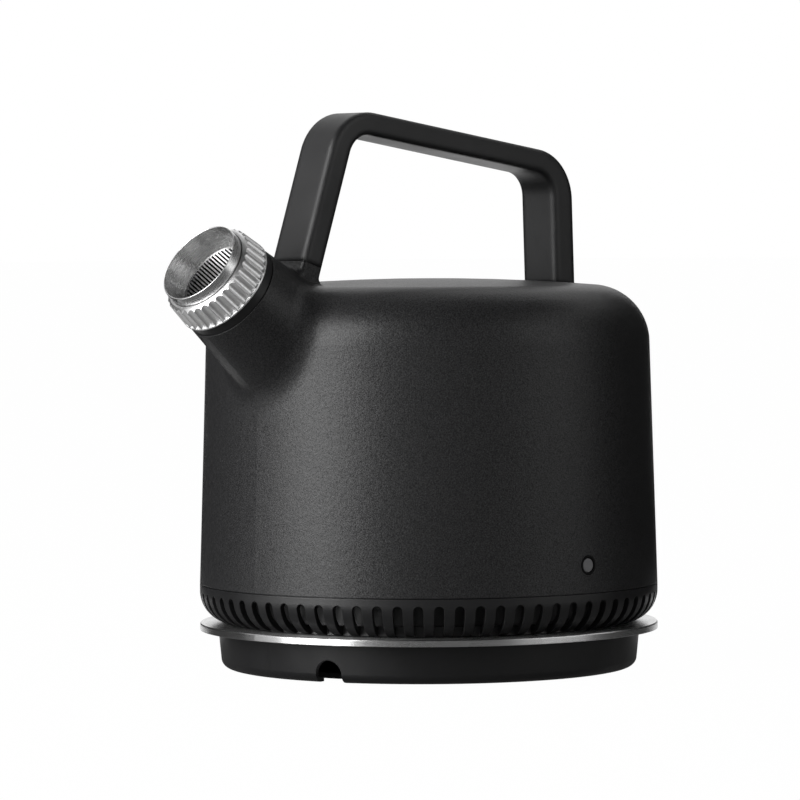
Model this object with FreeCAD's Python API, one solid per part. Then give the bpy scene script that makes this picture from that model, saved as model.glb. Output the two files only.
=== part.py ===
import FreeCAD, Part
import math
import os

V = FreeCAD.Vector

# Electric kettle on a cordless stand, in millimetres.
# Origin on the table under the kettle's axis, +Z up, +X towards the spout.

# Shared fits
FIT = 0.1
RUNNING_GAP = 0.35
FACE_GAP = 0.05
SCREW_FIT = 0.05

# Stand housing and steel plate, which is as wide as the kettle's body
FOOT_PROUD = 0.6
BASE_HEIGHT = 19.3
BASE_TAPER = 1.7
BASE_CORNER_R = 4.0
BASE_WALL = 2.2
BASE_DECK = 2.4
BASE_LIP_W = 6.4
PLATE_OVERHANG = 7.4
PLATE_SHEET = 1.0
PLATE_RIM = 2.8
PLATE_EDGE = 0.4
NOTCH_ANGLE = 19.7
NOTCH_WIDTH = 11.6
NOTCH_HEIGHT = 9.1

# Stand cover with the cord drum, feet and screws
COVER_INSET = 0.4
COVER_T = 2.4
CORD_SLOT_W = 7.5
DRUM_R = 46.0
DRUM_WALL = 2.2
DRUM_NOTCH_W = 8.0
FOOT_R = 6.0
FOOT_INSET = 10.0
FOOT_SINK = 0.8
FOOT_COUNT = 4
FOOT_TURN = 45.0
BASE_SCREW_COUNT = 3
BASE_SCREW_TURN = 80.0
BASE_SCREW_PITCH_R = 36.0
BASE_BOSS_R = 3.6
BASE_SCREW_R = 1.4
BASE_SCREW_HEAD_R = 2.8
BASE_SCREW_HEAD_H = 1.1
BASE_SCREW_LENGTH = 8.0

# Socket tower on the stand
TOWER_R = 16.5
TOWER_RISE = 13.7
TOWER_DROP = 9.0
SOCKET_FLANGE_R = 29.0
SOCKET_FLANGE_T = 1.8
STUD_COUNT = 3
STUD_TURN = 30.0
STUD_PITCH_R = 24.5
STUD_R = 2.0
STUD_END = 1.0
NUT_FLATS = 7.0
NUT_H = 2.5
PIN_R = 3.0
PIN_LENGTH = 18.0
LIVE_WALL = 0.8
NEUTRAL_RING_R = 10.9
NEUTRAL_RING_WALL = 1.4
NEUTRAL_WALL = 0.8
EARTH_WALL = 0.6
EARTH_BAND = 7.0
CONTACT_FLOOR = 2.0
BORE_FLOOR = 6.0

# Inlet on the kettle
INLET_WALL = 2.6
INLET_ROOF = 3.0
INLET_ROOF_GAP = 1.0
INLET_FLANGE_W = 4.0
INLET_FLANGE_T = 2.0
INLET_SINK = 0.5
CLAMP_W = 11.0
CLAMP_T = 2.0
CLAMP_SCREW_COUNT = 3
CLAMP_SCREW_TURN = 30.0
CLAMP_BOSS_R = 2.6
CLAMP_EDGE = 1.0
CLAMP_SCREW_R = 1.2
CLAMP_SCREW_HEAD_R = 2.2
CLAMP_SCREW_HEAD_H = 1.4
CLAMP_SCREW_GRIP = 1.4

# Kettle body
SEAT_GAP = 0.4
BODY_R = 95.0
BODY_HEIGHT = 125.8
BODY_DRAFT = 1.67
BODY_WALL = 1.0
SHOULDER_R = 24.0
CROWN_R = 850.0
REVEAL = 0.4

# Vent ring under the body
VENT_HEIGHT = 15.56
VENT_STRAIGHT = 2.8
VENT_DRAW_IN = 10.5
VENT_WALL = 2.4
VENT_SPIGOT = 3.0
VENT_LIP = 1.3
VENT_LEDGE_W = 4.0
VENT_LEDGE_T = 2.0
VENT_SCREEN_INSET = 1.5
VENT_SCREEN_T = 1.2
VENT_COUNT = 72
VENT_SLOT_W = 4.0
VENT_SLOT_DROP = 2.8

# Kettle bottom cover, feet, posts and screws
BOTTOM_T = 2.0
BOTTOM_CUP_R = 6.0
BOTTOM_CUP_RISE = 4.0
POST_COUNT = 4
POST_TURN = 45.0
POST_INSET = 13.5
POST_R = 4.5
POST_SCREW_R = 1.9
POST_SCREW_HEAD_R = 3.6
POST_SCREW_HEAD_H = 2.2
POST_SCREW_LENGTH = 11.0
PAD_COUNT = 4
PAD_PITCH_R = 52.0
PAD_R = 5.0
PAD_SINK = 1.0

# Heater
HEATER_RISE = 26.0
HEATER_T = 1.0
HEATER_FLANGE = 6.0
SPREADER_GAP = 1.5
SPREADER_T = 4.0
ELEMENT_PITCH_R = 42.0
ELEMENT_R = 4.0
ELEMENT_FLAT = 0.7
ELEMENT_GAP_ANGLE = 40.0
ELEMENT_LEG = 6.0
ELEMENT_LEG_R = 3.3
TERMINAL_R = 1.6
TERMINAL_LENGTH = 4.4
CUTOUT_R = 9.0
CUTOUT_H = 9.0
PROBE_R = 2.5
PROBE_INSET = 30.5
PROBE_RISE = 9.0
PROBE_DROP = 7.0
PROBE_GASKET_R = 5.0
PROBE_GASKET_T = 2.0

# Control board behind the button
BOARD_W = 44.0
BOARD_H = 26.0
BOARD_T = 1.6
BOARD_LIFT = 7.0
BRACKET_T = 2.4
BRACKET_FOOT = 12.0
BRACKET_EAR = 7.0
BOARD_SCREW_R = 1.1
BOARD_SCREW_HEAD_R = 2.2
BOARD_SCREW_HEAD_H = 1.3
RELAY_W = 19.0
RELAY_H = 15.0
RELAY_D = 15.0
BLOCK_W = 20.0
BLOCK_H = 12.0
BLOCK_D = 11.0
LIGHT_R = 1.5
LIGHT_H = 4.4
LIGHT_OFFSET = 6.0
LEAD_R = 1.1
LEAD_BEND_R = 2.4

# Push button
BUTTON_RISE = 11.2
BUTTON_R = 2.8
BUTTON_GAP = 0.25
BUTTON_RIM = 0.85
BUTTON_HEAD = 4.5
BUTTON_RECESS = 0.2
BUTTON_STEM_R = 2.0
BUTTON_COLLAR_R = 3.6
BUTTON_COLLAR_T = 1.2
BUTTON_TRAVEL = 0.8
GUIDE_FLANGE_R = 6.4
GUIDE_FLANGE_T = 1.4
GUIDE_LENGTH = 8.0
SWITCH_SIDE = 6.2
SWITCH_H = 3.5
PLUNGER_R = 1.6
PLUNGER_PROUD = 1.6
PLUNGER_DEPTH = 1.2

# Spout, measured from the lip along its axis
SPOUT_ELEVATION = 36.1
LIP_REACH = 27.8
LIP_RISE = 7.2
LIP_R = 17.9
LIP_WALL = 0.5
SPOUT_FLARE = 6.4
SPOUT_MOUTH_R = 21.6
SPOUT_MOUTH_BACK = 20.4
SPOUT_ROOT = 82.0
SPOUT_WALL = 1.0
SPOUT_BLEND_R = 14.0
COLLAR_R = 21.1
COLLAR_BORE_R = 17.0
COLLAR_BOSS_R = 18.5
COLLAR_SPIGOT = 12.0

# Filter in the spout
RING_FRONT_BACK = 4.7
RING_LENGTH = 11.2
RING_REAR_R = 21.8
RING_FRONT_R = 20.7
RING_CHAMFER_R = 1.5
RING_CHAMFER_L = 1.2
RING_LIP = 1.7
RING_FLANGE = 0.8
FLUTE_COUNT = 36
FLUTE_R = 2.2
FLUTE_DEPTH = 0.85
FUNNEL_FLANGE_T = 1.0
SEAL_T = 1.1
MESH_BACK = 10.8
MESH_R = 15.5
MESH_SEAT = 0.3
MESH_T = 0.5
MESH_BARS = 21
MESH_PITCH = 1.38
MESH_SLOT_W = 0.72
MESH_TURN = 65.0
FUNNEL_WALL = 0.7
RETAINER_T = 1.3
RETAINER_W = 0.9

# Handle outline in the plane of the spout
HANDLE_W = 20.5
BAR_RISE = 62.1
BAR_SLOPE = 8.42
BAR_T = 9.4
FRONT_LEG_INSET = 24.3
FRONT_LEG_RISE = 24.3
FRONT_LEG_TILT = 18.6
FRONT_LEG_T = 10.4
REAR_LEG_INSET = 19.6
REAR_LEG_RISE = 20.1
REAR_LEG_TILT = 2.0
REAR_LEG_T = 11.5
CORNER_OUT_R = 22.0
CORNER_IN_R = 10.5
GRIP_EDGE_R = 1.8
STUB_RISE = 5.9
STUB_DEPTH = 26.0
STUB_WALL = 1.5
STUB_BLEND_R = 3.0
STUB_REVEAL = 0.2
CORE_COVER = 2.6
HANDLE_SCREW_R = 1.5
HANDLE_SCREW_HEAD_R = 2.7
HANDLE_SCREW_HEAD_H = 2.2
HANDLE_SCREW_LENGTH = 14.0
HANDLE_SCREW_SPREAD = 5.0
SEAL_WASHER_R = 2.9
SEAL_WASHER_T = 1.0

# Places worked out from the sizes above
plate_r = BODY_R
base_top_r = plate_r - PLATE_OVERHANG
base_foot_r = base_top_r - BASE_TAPER
base_lip_r = base_foot_r - BASE_LIP_W
cover_r = base_lip_r - CORD_SLOT_W
foot_pitch_r = cover_r - FOOT_INSET
vent_foot_r = BODY_R - VENT_DRAW_IN
vent_ledge_r = vent_foot_r - VENT_LEDGE_W
vent_screen_r = vent_ledge_r + VENT_SCREEN_INSET
post_pitch_r = vent_ledge_r - POST_INSET
probe_pitch_r = BODY_R - PROBE_INSET
spreader_r = probe_pitch_r - PROBE_GASKET_R - SPREADER_GAP
lip_x = BODY_R + LIP_REACH
front_leg_x = BODY_R - FRONT_LEG_INSET
rear_leg_x = BODY_R - REAR_LEG_INSET
deck_z = BASE_HEIGHT - PLATE_SHEET
deck_low = deck_z - BASE_DECK
cover_low = FOOT_PROUD + COVER_INSET
cover_top = cover_low + COVER_T
tower_top = BASE_HEIGHT + TOWER_RISE
kettle_z = BASE_HEIGHT + SEAT_GAP
bottom_top = kettle_z + BOTTOM_T
vent_top = kettle_z + VENT_HEIGHT
seam_z = vent_top + REVEAL
top_z = seam_z + BODY_HEIGHT
heater_z = seam_z + HEATER_RISE
heater_low = heater_z - HEATER_T
spreader_low = heater_low - SPREADER_T
button_z = seam_z + BUTTON_RISE
earth_r = TOWER_R + EARTH_WALL
recess_r = earth_r + RUNNING_GAP + EARTH_WALL
inlet_r = recess_r + INLET_WALL
inlet_low = kettle_z + INLET_SINK
inlet_roof = tower_top + INLET_ROOF_GAP
inlet_top = inlet_roof + INLET_ROOF
flange_low = bottom_top + FACE_GAP
flange_top = flange_low + INLET_FLANGE_T
clamp_low = flange_top + FACE_GAP
clamp_r = inlet_r + FIT + CLAMP_W
clamp_pitch_r = clamp_r - CLAMP_BOSS_R - CLAMP_EDGE
lip_z = top_z + LIP_RISE
ring_rear = -RING_FRONT_BACK - RING_LENGTH
flange_front = -RING_FRONT_BACK - RING_LIP - FIT
seal_front = flange_front - FUNNEL_FLANGE_T
collar_front = seal_front - SEAL_T - FACE_GAP
mesh_rear = -MESH_BACK - MESH_T
retainer_rear = mesh_rear - RETAINER_T


def tan(degrees):
    return math.tan(math.radians(degrees))


def polar(radius, degrees, z=0.0):
    """Point at a radius and an angle from +X about the kettle's axis."""
    angle = math.radians(degrees)
    return V(radius * math.cos(angle), radius * math.sin(angle), z)


def disc(radius, z0, z1, at=V()):
    return Part.makeCylinder(radius, z1 - z0, V(at.x, at.y, z0))


def tube(outer, inner, z0, z1):
    return disc(outer, z0, z1).cut(disc(inner, z0, z1))


def block(x0, x1, y0, y1, z0, z1):
    return Part.makeBox(x1 - x0, y1 - y0, z1 - z0, V(x0, y0, z0))


def rod(radius, start, end):
    way = end - start
    return Part.makeCylinder(radius, way.Length, start, way)


def turned(profile, sweep=360):
    """Solid of revolution about Z from (radius, z) points; a pair of points is an arc's middle and end."""
    edges = []
    here = profile[0]
    for step in profile[1:] + profile[:1]:
        if isinstance(step[0], tuple):
            middle, step = step
            arc = Part.Arc(V(here[0], 0, here[1]), V(middle[0], 0, middle[1]), V(step[0], 0, step[1]))
            edges.append(arc.toShape())
        else:
            edges.append(Part.makeLine(V(here[0], 0, here[1]), V(step[0], 0, step[1])))
        here = step
    face = Part.Face(Part.Wire(edges))
    return face.revolve(V(), V(0, 0, 1), sweep)


def ring_of(count, start=0.0):
    """Angles of evenly spaced copies about an axis."""
    return [start + 360.0 * index / count for index in range(count)]


def moved(shape, at, axis=V(0, 0, 1)):
    """Copy of a shape built along Z, set at a point with its Z along an axis."""
    copy = shape.copy()
    place = FreeCAD.Placement(at, FreeCAD.Rotation(V(0, 0, 1), axis))
    copy.Placement = place.multiply(shape.Placement)
    return copy


def on_spout(shape):
    """Copy of a shape built about Z with the lip at z = 0, set on the spout's axis."""
    copy = shape.copy()
    place = FreeCAD.Placement(V(lip_x, 0, lip_z), FreeCAD.Rotation(V(0, 1, 0), 90.0 - SPOUT_ELEVATION))
    copy.Placement = place.multiply(shape.Placement)
    return copy


def fillet_where(shape, radius, wanted):
    """Round the edges that a test picks."""
    return shape.makeFillet(radius, [edge for edge in shape.Edges if wanted(edge)])


def screw(shank_r, length, head_r, head_h):
    """Socket screw along +Z: its head below z = 0, its shank above."""
    body = disc(head_r, -head_h, 0).fuse(disc(shank_r, 0, length))
    drive = Part.Face(Part.makePolygon([polar(head_r * 0.5, a, -head_h) for a in ring_of(6) + [0.0]]))
    return body.cut(drive.extrude(V(0, 0, head_h * 0.6)))


def save(name, shape):
    clean = shape.removeSplitter()
    clean.exportStep("parts/%s.step" % name)
    print("%-24s solids %2d  volume %10.1f mm3" % (name, len(clean.Solids), clean.Volume))


# Stand

def base_wall(inset, low):
    """Housing's outer form, drawn in by an inset, down to a level."""
    slope = (base_top_r - base_foot_r) / (deck_z - FOOT_PROUD)
    top = deck_z - (BASE_DECK if inset else 0.0)
    low_r = base_foot_r - inset + slope * (low - FOOT_PROUD)
    top_r = base_top_r - inset + slope * (top - deck_z)
    form = turned([(0, low), (low_r, low), (top_r, top), (0, top)])
    edge = [e for e in form.Edges if abs(e.BoundBox.ZMax - low) < 1e-6 and e.BoundBox.XMax > low_r - 1e-3]
    return form.makeFillet(BASE_CORNER_R - inset, edge[:1])


def notch_tool(width, height, floor, reach_in, reach_out):
    """Round-topped tunnel along the cord's way out of the stand."""
    radius = width / 2
    length = reach_out - reach_in
    crown = floor + height - radius
    tunnel = block(0, length, -radius, radius, floor - 2 * FOOT_PROUD, crown)
    tunnel = tunnel.fuse(rod(radius, V(0, 0, crown), V(length, 0, crown)))
    tunnel.Placement = FreeCAD.Placement(polar(reach_in, NOTCH_ANGLE),
                                         FreeCAD.Rotation(V(0, 0, 1), NOTCH_ANGLE))
    return tunnel


def base_screw_points(z):
    return [polar(BASE_SCREW_PITCH_R, a, z) for a in ring_of(BASE_SCREW_COUNT, BASE_SCREW_TURN)]


def stud_points(z):
    return [polar(STUD_PITCH_R, a, z) for a in ring_of(STUD_COUNT, STUD_TURN)]


def make_base_housing():
    housing = base_wall(0.0, FOOT_PROUD).cut(base_wall(BASE_WALL, FOOT_PROUD + BASE_WALL))
    housing = housing.cut(disc(base_lip_r, 0, FOOT_PROUD + BASE_WALL + FIT))
    housing = housing.cut(disc(TOWER_R + FIT, deck_low, deck_z))
    for point in stud_points(deck_low):
        housing = housing.cut(rod(STUD_R + FIT, point, point + V(0, 0, BASE_DECK)))
    for point in base_screw_points(cover_top):
        boss = rod(BASE_BOSS_R, point, V(point.x, point.y, deck_low + FIT))
        pilot = rod(BASE_SCREW_R + SCREW_FIT, point, V(point.x, point.y, deck_low))
        housing = housing.fuse(boss).cut(pilot)
    notch = notch_tool(NOTCH_WIDTH, NOTCH_HEIGHT, FOOT_PROUD, base_lip_r - 2 * BASE_WALL, plate_r)
    return housing.cut(notch)


def make_base_plate():
    rim_low = BASE_HEIGHT - PLATE_RIM
    plate = turned([
        (TOWER_R + EARTH_WALL + FIT, deck_z), (plate_r - PLATE_SHEET, deck_z),
        (plate_r - PLATE_SHEET, rim_low), (plate_r, rim_low),
        (plate_r, BASE_HEIGHT - PLATE_EDGE), (plate_r - PLATE_EDGE, BASE_HEIGHT),
        (TOWER_R + EARTH_WALL + FIT, BASE_HEIGHT)])
    return plate


def foot_points():
    """Centre foot and the outer feet."""
    return [V()] + [polar(foot_pitch_r, angle) for angle in ring_of(FOOT_COUNT, FOOT_TURN)]


def make_base_cover():
    cover = disc(cover_r, cover_low, cover_top)
    cover = cover.fuse(tube(DRUM_R, DRUM_R - DRUM_WALL, cover_top, deck_low - FACE_GAP))
    for point in foot_points():
        cover = cover.cut(disc(FOOT_R + FIT, cover_low, cover_low + FOOT_SINK, point))
    for point in base_screw_points(cover_low):
        hole = rod(BASE_SCREW_R + FIT, point, point + V(0, 0, COVER_T))
        sink = rod(BASE_SCREW_HEAD_R + FIT, point, point + V(0, 0, BASE_SCREW_HEAD_H))
        cover = cover.cut(hole).cut(sink)
    entry = notch_tool(DRUM_NOTCH_W, DRUM_NOTCH_W, cover_top + 2 * FOOT_PROUD, DRUM_R - 3 * DRUM_WALL,
                       DRUM_R + DRUM_WALL)
    return cover.cut(entry)


def make_base_feet():
    top = cover_low + FOOT_SINK
    return Part.makeCompound([disc(FOOT_R, 0, top, point) for point in foot_points()])


def make_base_cover_screws():
    one = screw(BASE_SCREW_R, BASE_SCREW_LENGTH, BASE_SCREW_HEAD_R, BASE_SCREW_HEAD_H)
    level = cover_low + BASE_SCREW_HEAD_H
    return Part.makeCompound([moved(one, point) for point in base_screw_points(level)])


def make_base_socket():
    low = deck_low - TOWER_DROP
    groove_out = NEUTRAL_RING_R + RUNNING_GAP + NEUTRAL_WALL + FIT
    groove_in = NEUTRAL_RING_R - NEUTRAL_RING_WALL - RUNNING_GAP
    bore_r = PIN_R + RUNNING_GAP + LIVE_WALL + FIT
    socket = disc(TOWER_R, low, tower_top)
    socket = socket.fuse(disc(SOCKET_FLANGE_R, deck_low - SOCKET_FLANGE_T, deck_low - FACE_GAP))
    for point in stud_points(deck_low - SOCKET_FLANGE_T):
        socket = socket.cut(rod(STUD_R + FIT, point, point + V(0, 0, SOCKET_FLANGE_T)))
    socket = socket.cut(disc(bore_r, low + CONTACT_FLOOR, tower_top))
    return socket.cut(tube(groove_out, groove_in, low + BORE_FLOOR, tower_top))


def make_socket_live_contact():
    inner = PIN_R + RUNNING_GAP
    return tube(inner + LIVE_WALL, inner, deck_low - TOWER_DROP + CONTACT_FLOOR, tower_top - CONTACT_FLOOR)


def make_socket_neutral_contact():
    inner = NEUTRAL_RING_R + RUNNING_GAP
    return tube(inner + NEUTRAL_WALL, inner, deck_low - TOWER_DROP + BORE_FLOOR, tower_top - CONTACT_FLOOR)


def make_socket_earth_contact():
    top = tower_top - CONTACT_FLOOR
    return tube(earth_r, TOWER_R + FACE_GAP, top - EARTH_BAND, top)


def make_plate_studs():
    low = V(0, 0, -BASE_DECK - SOCKET_FLANGE_T - NUT_H - STUD_END)
    return Part.makeCompound([rod(STUD_R, p, p + low) for p in stud_points(deck_z)])


def make_plate_nuts():
    top = deck_low - SOCKET_FLANGE_T
    corner = NUT_FLATS / math.sqrt(3)
    hexagon = Part.Face(Part.makePolygon([polar(corner, a) for a in ring_of(6) + [0.0]]))
    nut = hexagon.extrude(V(0, 0, -NUT_H)).cut(disc(STUD_R + SCREW_FIT, -NUT_H, 0))
    return Part.makeCompound([moved(nut, point) for point in stud_points(top)])


# Inlet under the kettle

def make_inlet_housing():
    cup = disc(inlet_r, inlet_low, inlet_top).cut(disc(recess_r + FACE_GAP, inlet_low, inlet_roof))
    cup = cup.fuse(tube(inlet_r + INLET_FLANGE_W, inlet_r - FIT, flange_low, flange_top))
    ring_slot = tube(NEUTRAL_RING_R + FIT, NEUTRAL_RING_R - NEUTRAL_RING_WALL - FIT,
                     inlet_roof, inlet_roof + INLET_ROOF / 2)
    return cup.cut(disc(PIN_R + FACE_GAP, inlet_roof, inlet_top)).cut(ring_slot)


def make_inlet_pin():
    return fillet_where(disc(PIN_R, inlet_top - PIN_LENGTH - INLET_ROOF, inlet_top), PIN_R * 0.4,
                        lambda edge: edge.BoundBox.ZMax < inlet_roof - PIN_LENGTH + 1)


def make_inlet_neutral_ring():
    low = inlet_roof - PIN_LENGTH + 2 * PIN_R
    return tube(NEUTRAL_RING_R, NEUTRAL_RING_R - NEUTRAL_RING_WALL, low, inlet_roof + INLET_ROOF / 2 - FIT)


def make_inlet_earth_ring():
    inner = earth_r + RUNNING_GAP
    return tube(recess_r, inner, inlet_roof - EARTH_BAND, inlet_roof)


def clamp_points(z):
    return [polar(clamp_pitch_r, a, z) for a in ring_of(CLAMP_SCREW_COUNT, CLAMP_SCREW_TURN)]


def make_inlet_clamp():
    clamp = tube(clamp_r, inlet_r + FIT, clamp_low, clamp_low + CLAMP_T)
    for point in clamp_points(clamp_low):
        clamp = clamp.cut(rod(CLAMP_SCREW_R + FIT, point, point + V(0, 0, CLAMP_T)))
    return clamp


def make_inlet_clamp_screws():
    one = screw(CLAMP_SCREW_R, CLAMP_T + INLET_FLANGE_T + CLAMP_SCREW_GRIP, CLAMP_SCREW_HEAD_R,
                CLAMP_SCREW_HEAD_H)
    level = clamp_low + CLAMP_T
    return Part.makeCompound([moved(one, point, V(0, 0, -1)) for point in clamp_points(level)])


# Kettle body with its spout and the stub of the handle

def body_form(inset, sweep=360):
    """Closed body of revolution, drawn in by an inset, from the spout's plane round by a sweep."""
    shift = inset / math.cos(math.radians(BODY_DRAFT))
    top_r = BODY_R - BODY_HEIGHT * tan(BODY_DRAFT) - shift
    crown = CROWN_R - inset
    crown_z = top_z - CROWN_R
    edge_z = crown_z + math.sqrt(crown ** 2 - top_r ** 2)
    half_r = top_r / 2
    half_z = crown_z + math.sqrt(crown ** 2 - half_r ** 2)
    form = turned([(0, seam_z), (BODY_R - shift, seam_z), (top_r, edge_z),
                   ((half_r, half_z), (0, top_z - inset))], sweep)
    return fillet_where(form, SHOULDER_R - inset, lambda e: abs(e.BoundBox.ZMin - edge_z) < 1e-3
                        and abs(e.BoundBox.ZLength) < 1e-3)


def shell_r(z):
    """Radius of the body's outer side at a level."""
    return BODY_R - (z - seam_z) * tan(BODY_DRAFT)


def spout_cone(inset, front, sweep=360):
    """Flaring spout from a place behind the lip down into the body, round by a sweep."""
    growth = tan(SPOUT_FLARE)
    front_r = SPOUT_MOUTH_R - inset + (-front - SPOUT_MOUTH_BACK) * growth
    root_r = SPOUT_MOUTH_R - inset + (SPOUT_ROOT - SPOUT_MOUTH_BACK) * growth
    cone = Part.makeCone(root_r, front_r, SPOUT_ROOT + front, V(0, 0, -SPOUT_ROOT), V(0, 0, 1), sweep)
    return on_spout(cone)


def slanted(x, z, degrees):
    """Line in the plane of the spout: a point and a way."""
    angle = math.radians(degrees)
    return V(x, 0, z), V(math.cos(angle), 0, math.sin(angle))


def shifted(line, distance):
    """Line moved to its left, which is the handle's inside."""
    point, way = line
    return point + V(-way.z, 0, way.x) * distance, way


def meet(one, other):
    """Point where two lines in the plane of the spout cross."""
    (p, d), (q, e) = one, other
    scale = ((q.x - p.x) * e.z - (q.z - p.z) * e.x) / (d.x * e.z - d.z * e.x)
    return p + d * scale


front_leg = slanted(front_leg_x, top_z + FRONT_LEG_RISE, 90.0 + FRONT_LEG_TILT)
bar_top = slanted(0.0, top_z + BAR_RISE, 180.0 + BAR_SLOPE)
rear_leg = slanted(-rear_leg_x, top_z + REAR_LEG_RISE, 270.0 - REAR_LEG_TILT)
stub_centre = meet(shifted(front_leg, FRONT_LEG_T / 2), slanted(0, top_z + STUB_RISE, 0))
rear_centre = meet(shifted(rear_leg, REAR_LEG_T / 2), slanted(0, top_z, 0))


def rounded_outline(corners):
    """Closed wire through corners in the plane of the spout, each with its own radius."""
    edges = []
    starts = []
    for index, (corner, radius) in enumerate(corners):
        before = (corners[index - 1][0] - corner).normalize()
        after = (corners[(index + 1) % len(corners)][0] - corner).normalize()
        half = before.getAngle(after) / 2
        back = radius / math.tan(half)
        bisector = (before + after).normalize()
        middle = corner + bisector * (radius / math.sin(half) - radius)
        starts.append((corner + before * back, middle, corner + after * back, radius))
    for index, (enter, middle, leave, radius) in enumerate(starts):
        if radius > 0:
            edges.append(Part.Arc(enter, middle, leave).toShape())
        edges.append(Part.makeLine(leave, starts[(index + 1) % len(starts)][0]))
    return Part.Wire(edges)


def handle_form(inset):
    """Handle's bent bar, drawn in by an inset on every side, with both ends run into the body."""
    floor = slanted(0, top_z - SHOULDER_R, 0)
    outer = [shifted(line, inset) for line in (front_leg, bar_top, rear_leg)]
    depths = (FRONT_LEG_T, BAR_T, REAR_LEG_T)
    inner = [shifted(line, depth - inset) for line, depth in zip((front_leg, bar_top, rear_leg), depths)]
    corners = [
        (meet(outer[0], floor), 0.0), (meet(outer[0], outer[1]), CORNER_OUT_R - inset),
        (meet(outer[1], outer[2]), CORNER_OUT_R - inset), (meet(outer[2], floor), 0.0),
        (meet(inner[2], floor), 0.0), (meet(inner[2], inner[1]), CORNER_IN_R + inset),
        (meet(inner[1], inner[0]), CORNER_IN_R + inset), (meet(inner[0], floor), 0.0)]
    width = HANDLE_W - 2 * inset
    face = Part.Face(rounded_outline(corners))
    face.translate(V(0, -width / 2, 0))
    return face.extrude(V(0, width, 0))


def half_leg(inset, top, bottom):
    """Straight length of half the front leg's section about its seam, between two heights on the leg."""
    thick = FRONT_LEG_T - 2 * inset
    reach = HANDLE_W / 2 - inset
    prism = block(-thick / 2, thick / 2, 0, reach, bottom, top)
    radius = max(GRIP_EDGE_R - inset, FIT)
    prism = fillet_where(prism, radius, lambda e: e.BoundBox.ZLength > 0.5 * (top - bottom)
                         and e.BoundBox.YMin > reach / 2)
    return moved(prism, stub_centre, front_leg[1])


def both_sides(half):
    """A half on the +Y side joined to its mirror image."""
    return half.fuse(half.mirror(V(), V(0, 1, 0)))


def handle_screw_seats(inside):
    """Screw places under the shell and their ways: two up the front leg, two up the rear leg."""
    seats = []
    rear_up = rear_leg[1] * -1
    for side in (-HANDLE_SCREW_SPREAD, HANDLE_SCREW_SPREAD):
        seats.append((stub_centre + V(0, side, 0) - front_leg[1] * STUB_WALL, front_leg[1]))
        through = rear_centre + V(0, side, 0)
        probe = Part.makeLine(through - rear_up * SHOULDER_R, through + rear_up * SHOULDER_R)
        room = probe.common(inside)
        seats.append((max((v.Point for v in room.Vertexes), key=lambda point: point.z), rear_up))
    return seats


def between(edge, first, second):
    """Whether an edge lies on two solids' surfaces and off the plane that halves them."""
    middle = edge.valueAt((edge.FirstParameter + edge.LastParameter) / 2)
    point = Part.Vertex(middle)
    near = [point.distToShape(Part.makeCompound(s.Faces))[0] < 1e-3 for s in (first, second)]
    return all(near) and abs(middle.y) > 1e-3


def body_outside():
    """Body, spout and stub as one filled form, blended on one side and mirrored."""
    body = body_form(0.0, 180)
    cone = spout_cone(0.0, -SPOUT_MOUTH_BACK, 180)
    joined = body.fuse(cone)
    joined = fillet_where(joined, SPOUT_BLEND_R, lambda edge: between(edge, body, cone))
    stub = half_leg(0.0, 0.0, -STUB_DEPTH)
    half = joined.fuse(stub)
    half = fillet_where(half, STUB_BLEND_R, lambda edge: between(edge, joined, stub))
    return both_sides(half)


def body_inside():
    """Room for the water, with the spout's bore and the stub's hollow."""
    room = body_form(BODY_WALL, 180).fuse(spout_cone(SPOUT_WALL, 0.0, 180))
    return both_sides(room.fuse(half_leg(STUB_WALL, -STUB_WALL, -STUB_DEPTH)))


def make_body_shell(outside, inside):
    shell = outside.cut(inside)
    hole_r = BUTTON_R + BUTTON_GAP + BUTTON_RIM + FIT
    shell = shell.cut(rod(hole_r, V(0, BODY_R / 2, button_z), V(0, BODY_R, button_z)))
    for seat, way in handle_screw_seats(inside):
        shell = shell.cut(rod(HANDLE_SCREW_R + FIT, seat - way * STUB_WALL, seat + way * 3 * STUB_WALL))
    return shell


# Vent ring and bottom cover

def turned_by(shape, degrees):
    """Copy of a shape turned about the kettle's axis."""
    copy = shape.copy()
    copy.rotate(V(), V(0, 0, 1), degrees)
    return copy


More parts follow.
